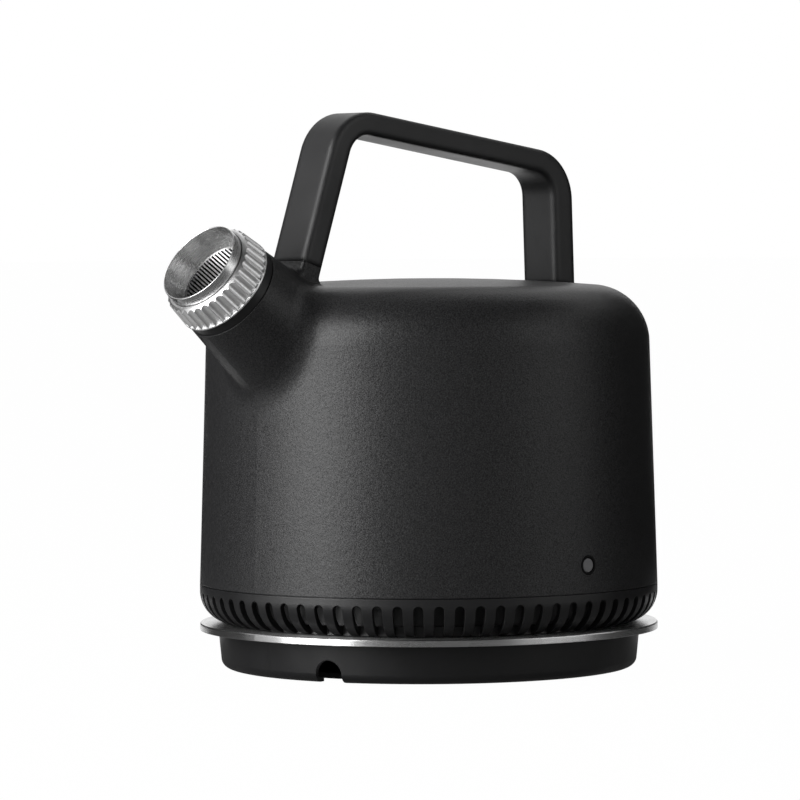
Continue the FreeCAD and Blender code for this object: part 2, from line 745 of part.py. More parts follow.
def make_vent_ring():
    """Ring of like sectors, each from the middle of one vent slot to the next, with a screen behind."""
    low = kettle_z
    bend_z = vent_top - VENT_STRAIGHT
    drop = bend_z - low
    arc_r = (VENT_DRAW_IN ** 2 + drop ** 2) / (2 * VENT_DRAW_IN)
    centre_r = BODY_R - arc_r
    inner_r = arc_r - VENT_WALL
    ledge_top = bottom_top + VENT_LEDGE_T
    lip_r = vent_foot_r - VENT_LIP

    def on_arc(radius, degrees):
        angle = math.radians(degrees)
        return centre_r + radius * math.cos(angle), bend_z - radius * math.sin(angle)

    foot_angle = math.degrees(math.asin(drop / arc_r))
    ledge_angle = math.degrees(math.asin((bend_z - ledge_top) / inner_r))
    inner_wall = BODY_R - VENT_WALL
    spigot_r = BODY_R - BODY_WALL - FIT
    spigot_top = seam_z + VENT_SPIGOT
    pitch = 360 / VENT_COUNT
    sector = turned([
        (inner_wall, spigot_top), (spigot_r, spigot_top), (spigot_r, vent_top), (BODY_R, vent_top),
        (BODY_R, bend_z), (on_arc(arc_r, foot_angle / 2), (vent_foot_r, low)),
        (lip_r, low), (lip_r, bottom_top), (vent_ledge_r, bottom_top), (vent_ledge_r, ledge_top),
        (vent_screen_r, ledge_top), (vent_screen_r, vent_top), (vent_screen_r + VENT_SCREEN_T, vent_top),
        (vent_screen_r + VENT_SCREEN_T, ledge_top),
        on_arc(inner_r, ledge_angle), (on_arc(inner_r, ledge_angle / 2), (inner_wall, bend_z))], pitch)
    crown_z = vent_top - VENT_SLOT_DROP - VENT_SLOT_W / 2
    start = vent_foot_r + FIT
    left = V(start, -VENT_SLOT_W / 2, crown_z)
    right = V(start, VENT_SLOT_W / 2, crown_z)
    below = V(0, 0, low - BOTTOM_T - crown_z)
    crown = Part.Arc(left, V(start, 0, crown_z + VENT_SLOT_W / 2), right).toShape()
    sides = Part.makePolygon([right, right + below, left + below, left])
    slot = Part.Face(Part.Wire([crown] + sides.Edges)).extrude(V(BODY_R + VENT_WALL - start, 0, 0))
    sector = sector.cut(slot).cut(turned_by(slot, pitch))
    sectors = [turned_by(sector, angle) for angle in ring_of(VENT_COUNT)]
    return sectors[0].multiFuse(sectors[1:])


def post_points(z):
    return [polar(post_pitch_r, a, z) for a in ring_of(POST_COUNT, POST_TURN)]


def make_bottom_cover():
    cup_top = bottom_top + BOTTOM_CUP_RISE
    cover = disc(vent_foot_r - VENT_LIP - FIT, kettle_z, bottom_top)
    for point in post_points(kettle_z):
        cup_floor = cup_top - BOTTOM_T
        cover = cover.fuse(disc(BOTTOM_CUP_R, kettle_z, cup_top, point))
        cover = cover.cut(disc(POST_SCREW_HEAD_R + 4 * FIT, kettle_z, cup_floor, point))
        cover = cover.cut(disc(POST_SCREW_R + FIT, kettle_z, cup_top, point))
    for point in clamp_points(bottom_top):
        cover = cover.fuse(disc(CLAMP_BOSS_R, kettle_z, clamp_low - FACE_GAP, point))
        cover = cover.cut(disc(CLAMP_SCREW_R + SCREW_FIT, kettle_z + FIT, clamp_low, point))
    cover = cover.cut(disc(inlet_r + FIT, kettle_z, bottom_top))
    for angle in ring_of(PAD_COUNT):
        cover = cover.cut(disc(PAD_R + FIT, kettle_z, kettle_z + PAD_SINK, polar(PAD_PITCH_R, angle)))
    return cover


def make_bottom_cover_screws():
    one = screw(POST_SCREW_R, POST_SCREW_LENGTH, POST_SCREW_HEAD_R, POST_SCREW_HEAD_H)
    level = bottom_top + BOTTOM_CUP_RISE - BOTTOM_T
    return Part.makeCompound([moved(one, point) for point in post_points(level)])


def make_mounting_posts():
    low = bottom_top + BOTTOM_CUP_RISE
    post = disc(POST_R, low, heater_low)
    post = post.cut(disc(POST_SCREW_R + SCREW_FIT, low, low + POST_SCREW_LENGTH))
    return Part.makeCompound([moved(post, point) for point in post_points(0.0)])


def make_kettle_feet():
    pad = disc(PAD_R, BASE_HEIGHT + FACE_GAP, kettle_z + PAD_SINK)
    return Part.makeCompound([moved(pad, polar(PAD_PITCH_R, a)) for a in ring_of(PAD_COUNT)])


# Heater under the water

def make_heater_plate():
    inner = BODY_WALL + FACE_GAP
    top_r = shell_r(heater_z) - inner
    low_r = shell_r(heater_low - HEATER_FLANGE) - inner
    low_z = heater_low - HEATER_FLANGE
    plate = turned([(0, heater_low), (top_r - HEATER_T, heater_low), (low_r - HEATER_T, low_z),
                    (low_r, low_z), (top_r, heater_z), (0, heater_z)])
    return plate.cut(disc(PROBE_R + FACE_GAP, heater_low, heater_z, polar(probe_pitch_r, 270)))


def make_heat_spreader():
    return disc(spreader_r, spreader_low, heater_low)


def element_ends():
    return [90.0 - ELEMENT_GAP_ANGLE / 2, 90.0 + ELEMENT_GAP_ANGLE / 2]


def element_z():
    return spreader_low - ELEMENT_R + ELEMENT_FLAT


def make_heating_element():
    sweep = 360.0 - ELEMENT_GAP_ANGLE
    coil = Part.makeTorus(ELEMENT_PITCH_R, ELEMENT_R, V(0, 0, element_z()), V(0, 0, 1), 0, 360, sweep)
    coil.rotate(V(), V(0, 0, 1), element_ends()[1])
    for angle in element_ends():
        elbow = polar(ELEMENT_PITCH_R, angle, element_z())
        coil = coil.fuse(Part.makeSphere(ELEMENT_R, elbow))
        coil = coil.fuse(rod(ELEMENT_LEG_R, elbow, elbow - V(0, 0, ELEMENT_LEG)))
    reach = ELEMENT_PITCH_R + 2 * ELEMENT_R
    return coil.cut(disc(reach, spreader_low, spreader_low + 2 * ELEMENT_R))


def terminal_low():
    return element_z() - ELEMENT_LEG - TERMINAL_LENGTH


def make_element_terminals():
    top = element_z() - ELEMENT_LEG
    return Part.makeCompound([
        disc(TERMINAL_R, terminal_low(), top, polar(ELEMENT_PITCH_R, a)) for a in element_ends()])


def make_thermal_cutout():
    low = spreader_low - CUTOUT_H
    cutout = disc(CUTOUT_R, low, spreader_low)
    tab = block(-CUTOUT_R * 1.4, CUTOUT_R * 1.4, -CUTOUT_R / 3, CUTOUT_R / 3, low, low + HEATER_T)
    return cutout.fuse(tab)


def make_temperature_probe():
    at = polar(probe_pitch_r, 270)
    tip = heater_z + PROBE_RISE
    probe = disc(PROBE_R, heater_low - PROBE_DROP, tip, at)
    return fillet_where(probe, PROBE_R * 0.8, lambda e: e.BoundBox.ZMin > tip - 1e-3)


def make_probe_gasket():
    at = polar(probe_pitch_r, 270)
    ring = disc(PROBE_GASKET_R, heater_low - PROBE_GASKET_T, heater_low, at)
    return ring.cut(disc(PROBE_R + FACE_GAP, heater_low - PROBE_GASKET_T, heater_low, at))


# Control board, button and leads

def button_front():
    return shell_r(button_z) - BUTTON_RECESS


def guide_rear():
    return shell_r(button_z) - GUIDE_LENGTH


def collar_front_y():
    return guide_rear() - RUNNING_GAP


def plunger_front():
    return collar_front_y() - BUTTON_COLLAR_T - BUTTON_STEM_R


def switch_front():
    return plunger_front() - PLUNGER_PROUD


def board_front():
    return switch_front() - SWITCH_H


def board_rear():
    return board_front() - BOARD_T


def board_low():
    return bottom_top + BOARD_LIFT


def board_screw_points(y):
    edge = BOARD_W / 2 - BRACKET_EAR / 2
    return [V(side * edge, y, board_low() + BRACKET_EAR / 2) for side in (-1, 1)]


def make_control_board():
    board = block(-BOARD_W / 2, BOARD_W / 2, board_rear(), board_front(), board_low(), board_low() + BOARD_H)
    for point in board_screw_points(board_rear()):
        board = board.cut(rod(BOARD_SCREW_R + FIT, point, point + V(0, BOARD_T, 0)))
    return board


def make_board_bracket():
    rear = board_rear()
    half = BOARD_W / 2
    bracket = block(-half, half, rear - BRACKET_FOOT, rear, bottom_top, bottom_top + BRACKET_T)
    for side in (-1, 1):
        x0 = min(side * half, side * (half - BRACKET_EAR))
        ear = block(x0, x0 + BRACKET_EAR, rear - BRACKET_T, rear, bottom_top, board_low() + BRACKET_EAR)
        bracket = bracket.fuse(ear)
    for point in board_screw_points(rear):
        bracket = bracket.cut(rod(BOARD_SCREW_R + SCREW_FIT, point, point - V(0, BRACKET_T, 0)))
    return bracket


def make_board_screws():
    one = screw(BOARD_SCREW_R, BOARD_T + BRACKET_T, BOARD_SCREW_HEAD_R, BOARD_SCREW_HEAD_H)
    return Part.makeCompound([moved(one, p, V(0, -1, 0)) for p in board_screw_points(board_front())])


def relay_low():
    return board_low() + BRACKET_EAR + BRACKET_T


def make_power_relay():
    right = -FIT
    return block(right - RELAY_W, right, board_rear() - RELAY_D, board_rear(), relay_low(),
                 relay_low() + RELAY_H)


def make_terminal_block():
    left = FIT
    return block(left, left + BLOCK_W, board_rear() - BLOCK_D, board_rear(), relay_low(),
                 relay_low() + BLOCK_H)


def make_indicator_light():
    base = V(LIGHT_OFFSET, board_front(), button_z)
    light = rod(LIGHT_R, base, base + V(0, LIGHT_H, 0))
    return fillet_where(light, LIGHT_R * 0.8, lambda e: e.BoundBox.YMin > base.y + LIGHT_H - 1e-3)


def make_button_switch():
    half = SWITCH_SIDE / 2
    case = block(-half, half, board_front(), switch_front(), button_z - half, button_z + half)
    depth = PLUNGER_DEPTH + BUTTON_TRAVEL + FIT
    face = V(0, switch_front(), button_z)
    return case.cut(rod(PLUNGER_R + FIT, face, face - V(0, depth, 0)))


def make_switch_plunger():
    tail = V(0, switch_front() - PLUNGER_DEPTH, button_z)
    return rod(PLUNGER_R, tail, V(0, plunger_front(), button_z))


def make_button_guide():
    face = shell_r(button_z)
    bore = BUTTON_R + BUTTON_GAP
    nose = rod(bore + BUTTON_RIM, V(0, guide_rear(), button_z), V(0, face, button_z))
    sag = face - BODY_WALL - math.sqrt((BODY_R - BODY_WALL) ** 2 - GUIDE_FLANGE_R ** 2) + BODY_R - face
    seat = face - BODY_WALL - sag - GUIDE_FLANGE_R * tan(BODY_DRAFT)
    flange = rod(GUIDE_FLANGE_R, V(0, seat - GUIDE_FLANGE_T, button_z), V(0, seat, button_z))
    return nose.fuse(flange).cut(rod(bore, V(0, guide_rear(), button_z), V(0, face, button_z)))


def make_button_cap():
    def station(y):
        return V(0, y, button_z)

    head_rear = button_front() - BUTTON_HEAD
    collar = collar_front_y()
    cap = rod(BUTTON_R, station(head_rear), station(button_front()))
    cap = fillet_where(cap, BUTTON_GAP, lambda e: e.BoundBox.YMin > button_front() - 1e-3)
    cap = cap.fuse(rod(BUTTON_STEM_R, station(plunger_front()), station(head_rear)))
    return cap.fuse(rod(BUTTON_COLLAR_R, station(collar - BUTTON_COLLAR_T), station(collar)))


def lead(points):
    """Wire along straight runs with round corners."""
    pieces = []
    here = points[0]
    for before, corner, after in zip(points, points[1:], points[2:]):
        way = (corner - before).normalize()
        on = (after - corner).normalize()
        turn = way.getAngle(on)
        reach = LEAD_BEND_R * math.tan(turn / 2)
        start = corner - way * reach
        centre = start + (on - way * on.dot(way)).normalize() * LEAD_BEND_R
        section = Part.Face(Part.Wire([Part.makeCircle(LEAD_R, start, way)]))
        pieces.append(rod(LEAD_R, here, start))
        pieces.append(section.revolve(centre, way.cross(on), math.degrees(turn)))
        here = corner + on * reach
    pieces.append(rod(LEAD_R, here, points[-1]))
    return pieces[0].multiFuse(pieces[1:])


def make_internal_leads():
    run_z = (inlet_top + terminal_low()) / 2
    start_r = inlet_r / 2
    right, left = [polar(ELEMENT_PITCH_R, a, terminal_low()) for a in element_ends()]
    relay_face = board_rear() - RELAY_D
    block_face = board_rear() - BLOCK_D
    relay_z = relay_low() + RELAY_H / 2
    earth_r_out = (ELEMENT_PITCH_R + ELEMENT_R + spreader_r) / 2
    live = [V(start_r, 0, inlet_top), V(start_r, 0, run_z), V(start_r, block_face, run_z)]
    neutral = [V(0, start_r, inlet_top), V(0, start_r, run_z), V(right.x, right.y, run_z), right]
    relay_x = -RELAY_W * 0.75
    drop_y = (relay_face + left.y) / 2
    switched = [V(relay_x, relay_face, relay_z), V(relay_x, drop_y, relay_z), V(relay_x, drop_y, run_z),
                V(left.x, left.y, run_z), left]
    earth = [V(0, -start_r, inlet_top), V(0, -start_r, run_z), V(0, -earth_r_out, run_z),
             V(0, -earth_r_out, spreader_low)]
    return Part.makeCompound([lead(path) for path in (live, neutral, switched, earth)])


# Spout collar and the filter that screws on it

def make_spout_collar():
    rear = -SPOUT_MOUTH_BACK
    collar = turned([
        (COLLAR_BORE_R, collar_front), (COLLAR_BOSS_R, collar_front), (COLLAR_BOSS_R, ring_rear - FIT),
        (COLLAR_R, ring_rear - FIT), (COLLAR_R, rear), (SPOUT_MOUTH_R - SPOUT_WALL - FIT, rear),
        (SPOUT_MOUTH_R - SPOUT_WALL - FIT, rear - COLLAR_SPIGOT), (COLLAR_BORE_R, rear - COLLAR_SPIGOT)])
    return on_spout(collar)


def make_filter_ring():
    front = -RING_FRONT_BACK
    edge = front - RING_CHAMFER_L
    lip_bore = LIP_R + RUNNING_GAP
    bore = COLLAR_BOSS_R + RUNNING_GAP
    ring = turned([
        (lip_bore, front), (RING_FRONT_R - RING_CHAMFER_R, front), (RING_FRONT_R, edge),
        (RING_REAR_R, ring_rear), (bore, ring_rear), (bore, front - RING_LIP), (lip_bore, front - RING_LIP)])
    lean = (RING_REAR_R - RING_FRONT_R) / (edge - ring_rear)
    lift = FLUTE_R - FLUTE_DEPTH
    flute_end = ring_rear + RING_FLANGE
    start = V(RING_FRONT_R + lift - lean * RING_CHAMFER_L, 0, front)
    end = V(RING_FRONT_R + lift + lean * (edge - flute_end), 0, flute_end)
    flute = rod(FLUTE_R, start, end)
    flute = flute.fuse(rod(FLUTE_R, start, start + (start - end).normalize() * FLUTE_R))
    flutes = []
    for angle in ring_of(FLUTE_COUNT):
        one = flute.copy()
        one.rotate(V(), V(0, 0, 1), angle)
        flutes.append(one)
    return on_spout(ring.cut(flutes))


def make_filter_funnel():
    seat_r = MESH_R + MESH_SEAT
    tail_r = seat_r + FUNNEL_WALL
    flange_r = COLLAR_BOSS_R
    funnel = turned([
        (LIP_R - LIP_WALL, 0), (LIP_R, 0), (LIP_R, flange_front), (flange_r, flange_front),
        (flange_r, seal_front), (tail_r, seal_front), (tail_r, retainer_rear), (seat_r, retainer_rear),
        (seat_r, -MESH_BACK), (MESH_R, -MESH_BACK)])
    rounded = fillet_where(funnel, LIP_WALL * 0.4, lambda e: abs(e.BoundBox.ZMax) < 1e-3)
    return on_spout(rounded)


def make_filter_mesh():
    radius = MESH_R + MESH_SEAT - FIT
    mesh = disc(radius, mesh_rear, -MESH_BACK)
    slots = []
    for index in range(MESH_BARS):
        across = (index - (MESH_BARS - 1) / 2) * MESH_PITCH
        half = math.sqrt((MESH_R - MESH_SLOT_W) ** 2 - across ** 2)
        slots.append(block(-half, half, across - MESH_SLOT_W / 2, across + MESH_SLOT_W / 2,
                           mesh_rear, -MESH_BACK))
    mesh = mesh.cut(slots)
    mesh.rotate(V(), V(0, 0, 1), MESH_TURN)
    return on_spout(mesh)


def make_mesh_retainer():
    outer = MESH_R + MESH_SEAT - FACE_GAP
    return on_spout(tube(outer, outer - RETAINER_W, retainer_rear, mesh_rear))


def make_filter_seal():
    return on_spout(tube(COLLAR_BOSS_R, COLLAR_BORE_R, collar_front + FACE_GAP, seal_front))


# Handle

def under_seam(reveal):
    """Everything below the front leg's seam and its reveal, near that leg."""
    size = 2 * STUB_DEPTH
    under = block(-size / 2, size / 2, -size / 2, size / 2, -size, reveal)
    return moved(under, stub_centre, front_leg[1])


def make_handle_core(inside):
    core = handle_form(CORE_COVER)
    core = core.cut(body_form(0.0)).cut(under_seam(0.0))
    for seat, way in handle_screw_seats(inside):
        core = core.cut(rod(HANDLE_SCREW_R + SCREW_FIT, seat, seat + way * HANDLE_SCREW_LENGTH))
    return core


def make_handle_grip():
    form = handle_form(0.0)
    floor = top_z - SHOULDER_R
    form = fillet_where(form, GRIP_EDGE_R, lambda e: e.BoundBox.YLength < 1e-3
                        and e.BoundBox.ZMax > floor + 1e-3)
    form = form.cut(body_form(0.0)).cut(under_seam(STUB_REVEAL))
    return form.cut(handle_form(CORE_COVER - FACE_GAP))


def make_handle_screws(inside):
    one = screw(HANDLE_SCREW_R, HANDLE_SCREW_LENGTH, HANDLE_SCREW_HEAD_R, HANDLE_SCREW_HEAD_H)
    seats = handle_screw_seats(inside)
    return Part.makeCompound([moved(one, seat - way * SEAL_WASHER_T, way) for seat, way in seats])


def make_handle_seals(inside):
    seals = []
    for seat, way in handle_screw_seats(inside):
        washer = rod(SEAL_WASHER_R, seat - way * SEAL_WASHER_T, seat + way * BODY_WALL)
        bore = rod(HANDLE_SCREW_R + SCREW_FIT, seat - way * SEAL_WASHER_T, seat + way * BODY_WALL)
        seals.append(washer.common(inside).cut(bore))
    return Part.makeCompound(seals)


def main():
    os.makedirs("parts", exist_ok=True)
    outside = body_outside()
    inside = body_inside()
    save("base_housing", make_base_housing())
    save("base_plate", make_base_plate())
    save("base_cover", make_base_cover())
    save("base_feet", make_base_feet())
    save("base_cover_screws", make_base_cover_screws())
    save("base_socket", make_base_socket())
    save("socket_live_contact", make_socket_live_contact())
    save("socket_neutral_contact", make_socket_neutral_contact())
    save("socket_earth_contact", make_socket_earth_contact())
    save("plate_studs", make_plate_studs())
    save("plate_nuts", make_plate_nuts())
    save("inlet_housing", make_inlet_housing())
    save("inlet_pin", make_inlet_pin())
    save("inlet_neutral_ring", make_inlet_neutral_ring())
    save("inlet_earth_ring", make_inlet_earth_ring())
    save("inlet_clamp", make_inlet_clamp())
    save("inlet_clamp_screws", make_inlet_clamp_screws())
    save("body_shell", make_body_shell(outside, inside))
    save("vent_ring", make_vent_ring())
    save("bottom_cover", make_bottom_cover())
    save("bottom_cover_screws", make_bottom_cover_screws())
    save("mounting_posts", make_mounting_posts())
    save("kettle_feet", make_kettle_feet())
    save("heater_plate", make_heater_plate())
    save("heat_spreader", make_heat_spreader())
    save("heating_element", make_heating_element())
    save("element_terminals", make_element_terminals())
    save("thermal_cutout", make_thermal_cutout())
    save("temperature_probe", make_temperature_probe())
    save("probe_gasket", make_probe_gasket())
    save("control_board", make_control_board())
    save("board_bracket", make_board_bracket())
    save("board_screws", make_board_screws())
    save("power_relay", make_power_relay())
    save("terminal_block", make_terminal_block())
    save("indicator_light", make_indicator_light())
    save("button_switch", make_button_switch())
    save("switch_plunger", make_switch_plunger())
    save("button_guide", make_button_guide())
    save("button_cap", make_button_cap())
    save("internal_leads", make_internal_leads())
    save("spout_collar", make_spout_collar())
    save("filter_ring", make_filter_ring())
    save("filter_funnel", make_filter_funnel())
    save("filter_mesh", make_filter_mesh())
    save("mesh_retainer", make_mesh_retainer())
    save("filter_seal", make_filter_seal())
    save("handle_grip", make_handle_grip())
    save("handle_core", make_handle_core(inside))
    save("handle_screws", make_handle_screws(inside))
    save("handle_seals", make_handle_seals(inside))


main()
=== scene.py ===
"""Looks of the electric kettle on its cordless stand."""

import logging
import math
from dataclasses import dataclass, field
from enum import Enum
from typing import Any, Callable, Sequence

import bpy
from mathutils import Matrix, Quaternion, Vector


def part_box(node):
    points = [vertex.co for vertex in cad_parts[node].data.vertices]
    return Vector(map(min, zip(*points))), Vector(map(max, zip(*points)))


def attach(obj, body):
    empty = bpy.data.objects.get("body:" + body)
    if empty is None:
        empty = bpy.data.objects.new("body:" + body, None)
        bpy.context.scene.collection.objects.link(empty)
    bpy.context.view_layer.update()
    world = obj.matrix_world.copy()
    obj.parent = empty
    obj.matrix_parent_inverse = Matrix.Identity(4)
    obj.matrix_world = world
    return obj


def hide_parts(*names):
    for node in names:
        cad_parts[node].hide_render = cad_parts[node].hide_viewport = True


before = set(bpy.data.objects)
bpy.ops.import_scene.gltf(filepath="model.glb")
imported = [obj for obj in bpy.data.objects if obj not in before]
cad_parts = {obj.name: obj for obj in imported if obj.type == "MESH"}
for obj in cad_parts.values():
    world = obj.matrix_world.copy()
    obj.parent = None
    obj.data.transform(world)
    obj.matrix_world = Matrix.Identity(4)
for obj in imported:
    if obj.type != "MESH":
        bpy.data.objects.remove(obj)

LOG = logging.getLogger("kettle")
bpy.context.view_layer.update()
MM = 0.001
WHITE = (1.0, 1.0, 1.0, 1.0)
Colour = tuple[float, float, float]
Span = tuple[float, float]

# Ends of a mask, and the part of a noise that most of its values lie in.
FULL: Span = (0.0, 1.0)
MOST_NOISE: Span = (0.3, 0.7)

# Turn of a highlight that lays it across the marks of the tool.
ACROSS_MARKS = 0.25

# Least part of a face's normal that lies along the way that the face looks.
FACING = 0.9


class Body(Enum):
    """Moving bodies that pieces ride on."""

    BASE = "base"
    KETTLE = "kettle"


class Slot(Enum):
    """Record slots for rubber, steel and black plastic; the new pieces here take their finish from Finishes.
    """

    RUBBER = "soft_rubber"
    PLAIN_STEEL = "plain_steel"
    BLACK_PLASTIC = "black_plastic"


class Turning(Enum):
    """Axis that lathe marks run round."""

    UPRIGHT = "upright"
    SPOUT = "spout"


@dataclass(frozen=True)
class SpoutAxis:
    """Place and slope of the spout."""

    lip_x: float = 122.8 * MM
    lip_z: float = 168.66 * MM
    elevation: float = math.radians(36.1)

    def turn(self) -> Matrix:
        """Returns the matrix that takes +Z at the origin to the spout's axis at its lip."""
        lean = Matrix.Rotation(math.pi / 2 - self.elevation, 4, "Y")
        return Matrix.Translation((self.lip_x, 0.0, self.lip_z)) @ lean


SPOUT = SpoutAxis()


class Wiring:
    """Places and joins the nodes of one tree."""

    def __init__(self, tree: bpy.types.NodeTree) -> None:
        """Keeps the tree to build in.

        Args:
            tree: Node tree of a material, a group or the world.
        """
        self.tree = tree

    def node(self, kind: str, values: dict[Any, Any] | None = None, **settings: Any) -> bpy.types.Node:
        """Adds a node.

        Args:
            kind: Node type name.
            values: Input socket names or numbers, each with a value or a socket to join.
            settings: Node properties.

        Returns:
            The new node.
        """
        made = self.tree.nodes.new(kind)
        for name, value in settings.items():
            setattr(made, name, value)
        for key, value in (values or {}).items():
            self.feed(made.inputs[key], value)
        return made

    def feed(self, target: bpy.types.NodeSocket, value: Any) -> None:
        """Sets or joins an input.

        Args:
            target: Input socket.
            value: A plain value, or an output socket.
        """
        if isinstance(value, bpy.types.NodeSocket):
            self.tree.links.new(value, target)
        else:
            target.default_value = value

    def math(self, operation: str, *values: Any) -> bpy.types.NodeSocket:
        """Adds a Math node.

        Args:
            operation: Name of the operation.
            values: Inputs in order.

        Returns:
            Its result socket.
        """
        return self.node("ShaderNodeMath", dict(enumerate(values)), operation=operation).outputs[0]

    def ramp(self, value: Any, low: float, high: float, start: float, end: float) -> bpy.types.NodeSocket:
        """Maps a value from one range to another, held at both ends.

        Args:
            value: Socket to map.
            low: Value that gives start.
            high: Value that gives end.
            start: Result at low.
            end: Result at high.

        Returns:
            The mapped socket.
        """
        made = self.node("ShaderNodeMapRange", {0: value, 1: low, 2: high, 3: start, 4: end})
        return made.outputs[0]

    def blend(self, mask: Any, first: Any, second: Any) -> bpy.types.NodeSocket:
        """Mixes two colours.

        Args:
            mask: Share of the second colour.
            first: Colour or socket at 0.
            second: Colour or socket at 1.

        Returns:
            The mixed colour socket.
        """
        made = self.node("ShaderNodeMix", {0: mask}, data_type="RGBA")
        self.feed(made.inputs[6], first)
        self.feed(made.inputs[7], second)
        return made.outputs[2]


def bare_tree(owner: bpy.types.ID) -> Wiring:
    """Returns a builder for an emptied node tree.

    Args:
        owner: Material or world that the tree belongs to.
    """
    owner.use_nodes = True
    owner.node_tree.nodes.clear()
    return Wiring(owner.node_tree)


@dataclass(frozen=True)
class Effect:
    """Shader group that several finishes share."""

    name: str
    inputs: tuple[tuple[str, str], ...]
    outputs: tuple[tuple[str, str], ...]

    def group(self) -> bpy.types.NodeTree:
        """Returns the group's tree, built on its first use."""
        known = bpy.data.node_groups.get(self.name)
        if known:
            return known
        tree = bpy.data.node_groups.new(self.name, "ShaderNodeTree")
        for name, kind in self.inputs:
            tree.interface.new_socket(name, in_out="INPUT", socket_type=kind)
        for name, kind in self.outputs:
            tree.interface.new_socket(name, in_out="OUTPUT", socket_type=kind)
        wiring = Wiring(tree)
        given = tree.nodes.new("NodeGroupInput").outputs
        result = tree.nodes.new("NodeGroupOutput").inputs
        self.wire(wiring, given, result)
        return tree

    def wire(self, wiring: Wiring, given: Any, result: Any) -> None:
        """Fills the group.

        Args:
            wiring: Builder of the group's tree.
            given: Sockets of the group's inputs.
            result: Sockets of the group's outputs.
        """
        raise NotImplementedError

    def place(self, wiring: Wiring, **values: Any) -> bpy.types.Node:
        """Places the group in a material.

        Args:
            wiring: Builder of the material's tree.
            values: Inputs by name.

        Returns:
            The group node.
        """
        made = wiring.node("ShaderNodeGroup")
        made.node_tree = self.group()
        for name, value in values.items():
            wiring.feed(made.inputs[name], value)
        return made


FLOAT = "NodeSocketFloat"
VECTOR = "NodeSocketVector"


class CoatFleck(Effect):
    """Pale flakes and orange peel of a baked powder coat."""

    FLAKE_CORE = 0.15
    FLAKE_RIM = 0.5
    DULLEST_FLAKE = 0.35
    PEEL_SHARE = 0.3

    def wire(self, wiring: Wiring, given: Any, result: Any) -> None:
        """Fills the group; see Effect.wire."""
        cells = wiring.node("ShaderNodeTexVoronoi", {"Vector": given["Vector"], "Scale": given["Fineness"]})
        chance = wiring.node("ShaderNodeSeparateColor", {0: cells.outputs["Color"]})
        limit = wiring.math("SUBTRACT", 1.0, given["Share"])
        chosen = wiring.math("GREATER_THAN", chance.outputs[0], limit)
        round_off = wiring.ramp(cells.outputs["Distance"], self.FLAKE_CORE, self.FLAKE_RIM, 1.0, 0.0)
        bright = wiring.ramp(chance.outputs[1], *FULL, self.DULLEST_FLAKE, 1.0)
        flake = wiring.math("MULTIPLY", wiring.math("MULTIPLY", chosen, round_off), bright)
        grain = wiring.node("ShaderNodeTexNoise", {"Vector": given["Vector"], "Scale": given["Fineness"],
                                                   "Detail": 2.0, "Roughness": 0.6})
        peel_scale = wiring.math("MULTIPLY", given["Fineness"], self.PEEL_SHARE)
        peel = wiring.node("ShaderNodeTexNoise", {"Vector": given["Vector"], "Scale": peel_scale})
        height = wiring.math("ADD", grain.outputs[0], peel.outputs[0])
        wiring.feed(result["Flake"], flake)
        wiring.feed(result["Height"], wiring.math("MULTIPLY", height, 0.5))
        wiring.feed(result["Tone"], grain.outputs[0])


class MouldGrain(Effect):
    """Fine spark-eroded grain of a plastic mould."""

    PIT_SHARE = 0.5
    DRIFT_SCALE = 45.0

    def wire(self, wiring: Wiring, given: Any, result: Any) -> None:
        """Fills the group; see Effect.wire."""
        fine = wiring.node("ShaderNodeTexNoise", {"Vector": given["Vector"], "Scale": given["Fineness"],
                                                  "Detail": 3.0, "Roughness": 0.65})
        pits = wiring.node("ShaderNodeTexVoronoi", {"Vector": given["Vector"], "Scale": given["Fineness"]})
        pitted = wiring.math("MULTIPLY", pits.outputs["Distance"], self.PIT_SHARE)
        height = wiring.math("ADD", fine.outputs[0], pitted)
        broad = wiring.node("ShaderNodeTexNoise", {"Vector": given["Vector"], "Scale": self.DRIFT_SCALE,
                                                   "Detail": 4.0})
        wiring.feed(result["Height"], height)
        wiring.feed(result["Tone"], fine.outputs[0])
        wiring.feed(result["Drift"], broad.outputs[0])


class LatheMarks(Effect):
    """Fine streaks that run round the Z axis of the given coordinates."""

    ROUND_CHANGE = 1.6

    def wire(self, wiring: Wiring, given: Any, result: Any) -> None:
        """Fills the group; see Effect.wire."""
        parts = wiring.node("ShaderNodeSeparateXYZ", {0: given["Vector"]}).outputs
        flat = wiring.node("ShaderNodeCombineXYZ", {0: parts[0], 1: parts[1]}).outputs[0]
        radius = wiring.node("ShaderNodeVectorMath", {0: flat}, operation="LENGTH").outputs["Value"]
        angle = wiring.math("ARCTAN2", parts[1], parts[0])
        across = wiring.math("MULTIPLY", radius, given["Fineness"])
        along = wiring.math("MULTIPLY", parts[2], given["Fineness"])
        cosine = wiring.math("MULTIPLY", wiring.math("COSINE", angle), self.ROUND_CHANGE)
        sine = wiring.math("MULTIPLY", wiring.math("SINE", angle), self.ROUND_CHANGE)
        place = wiring.node("ShaderNodeCombineXYZ", {0: across, 1: along, 2: cosine}).outputs[0]
        streak = wiring.node("ShaderNodeTexNoise", {"Vector": place, "W": sine, "Scale": 1.0, "Detail": 4.0,
                                                    "Roughness": 0.7}, noise_dimensions="4D")
        wiring.feed(result["Height"], streak.outputs[0])
        wiring.feed(result["Tone"], wiring.ramp(streak.outputs[0], *MOST_NOISE, *FULL))


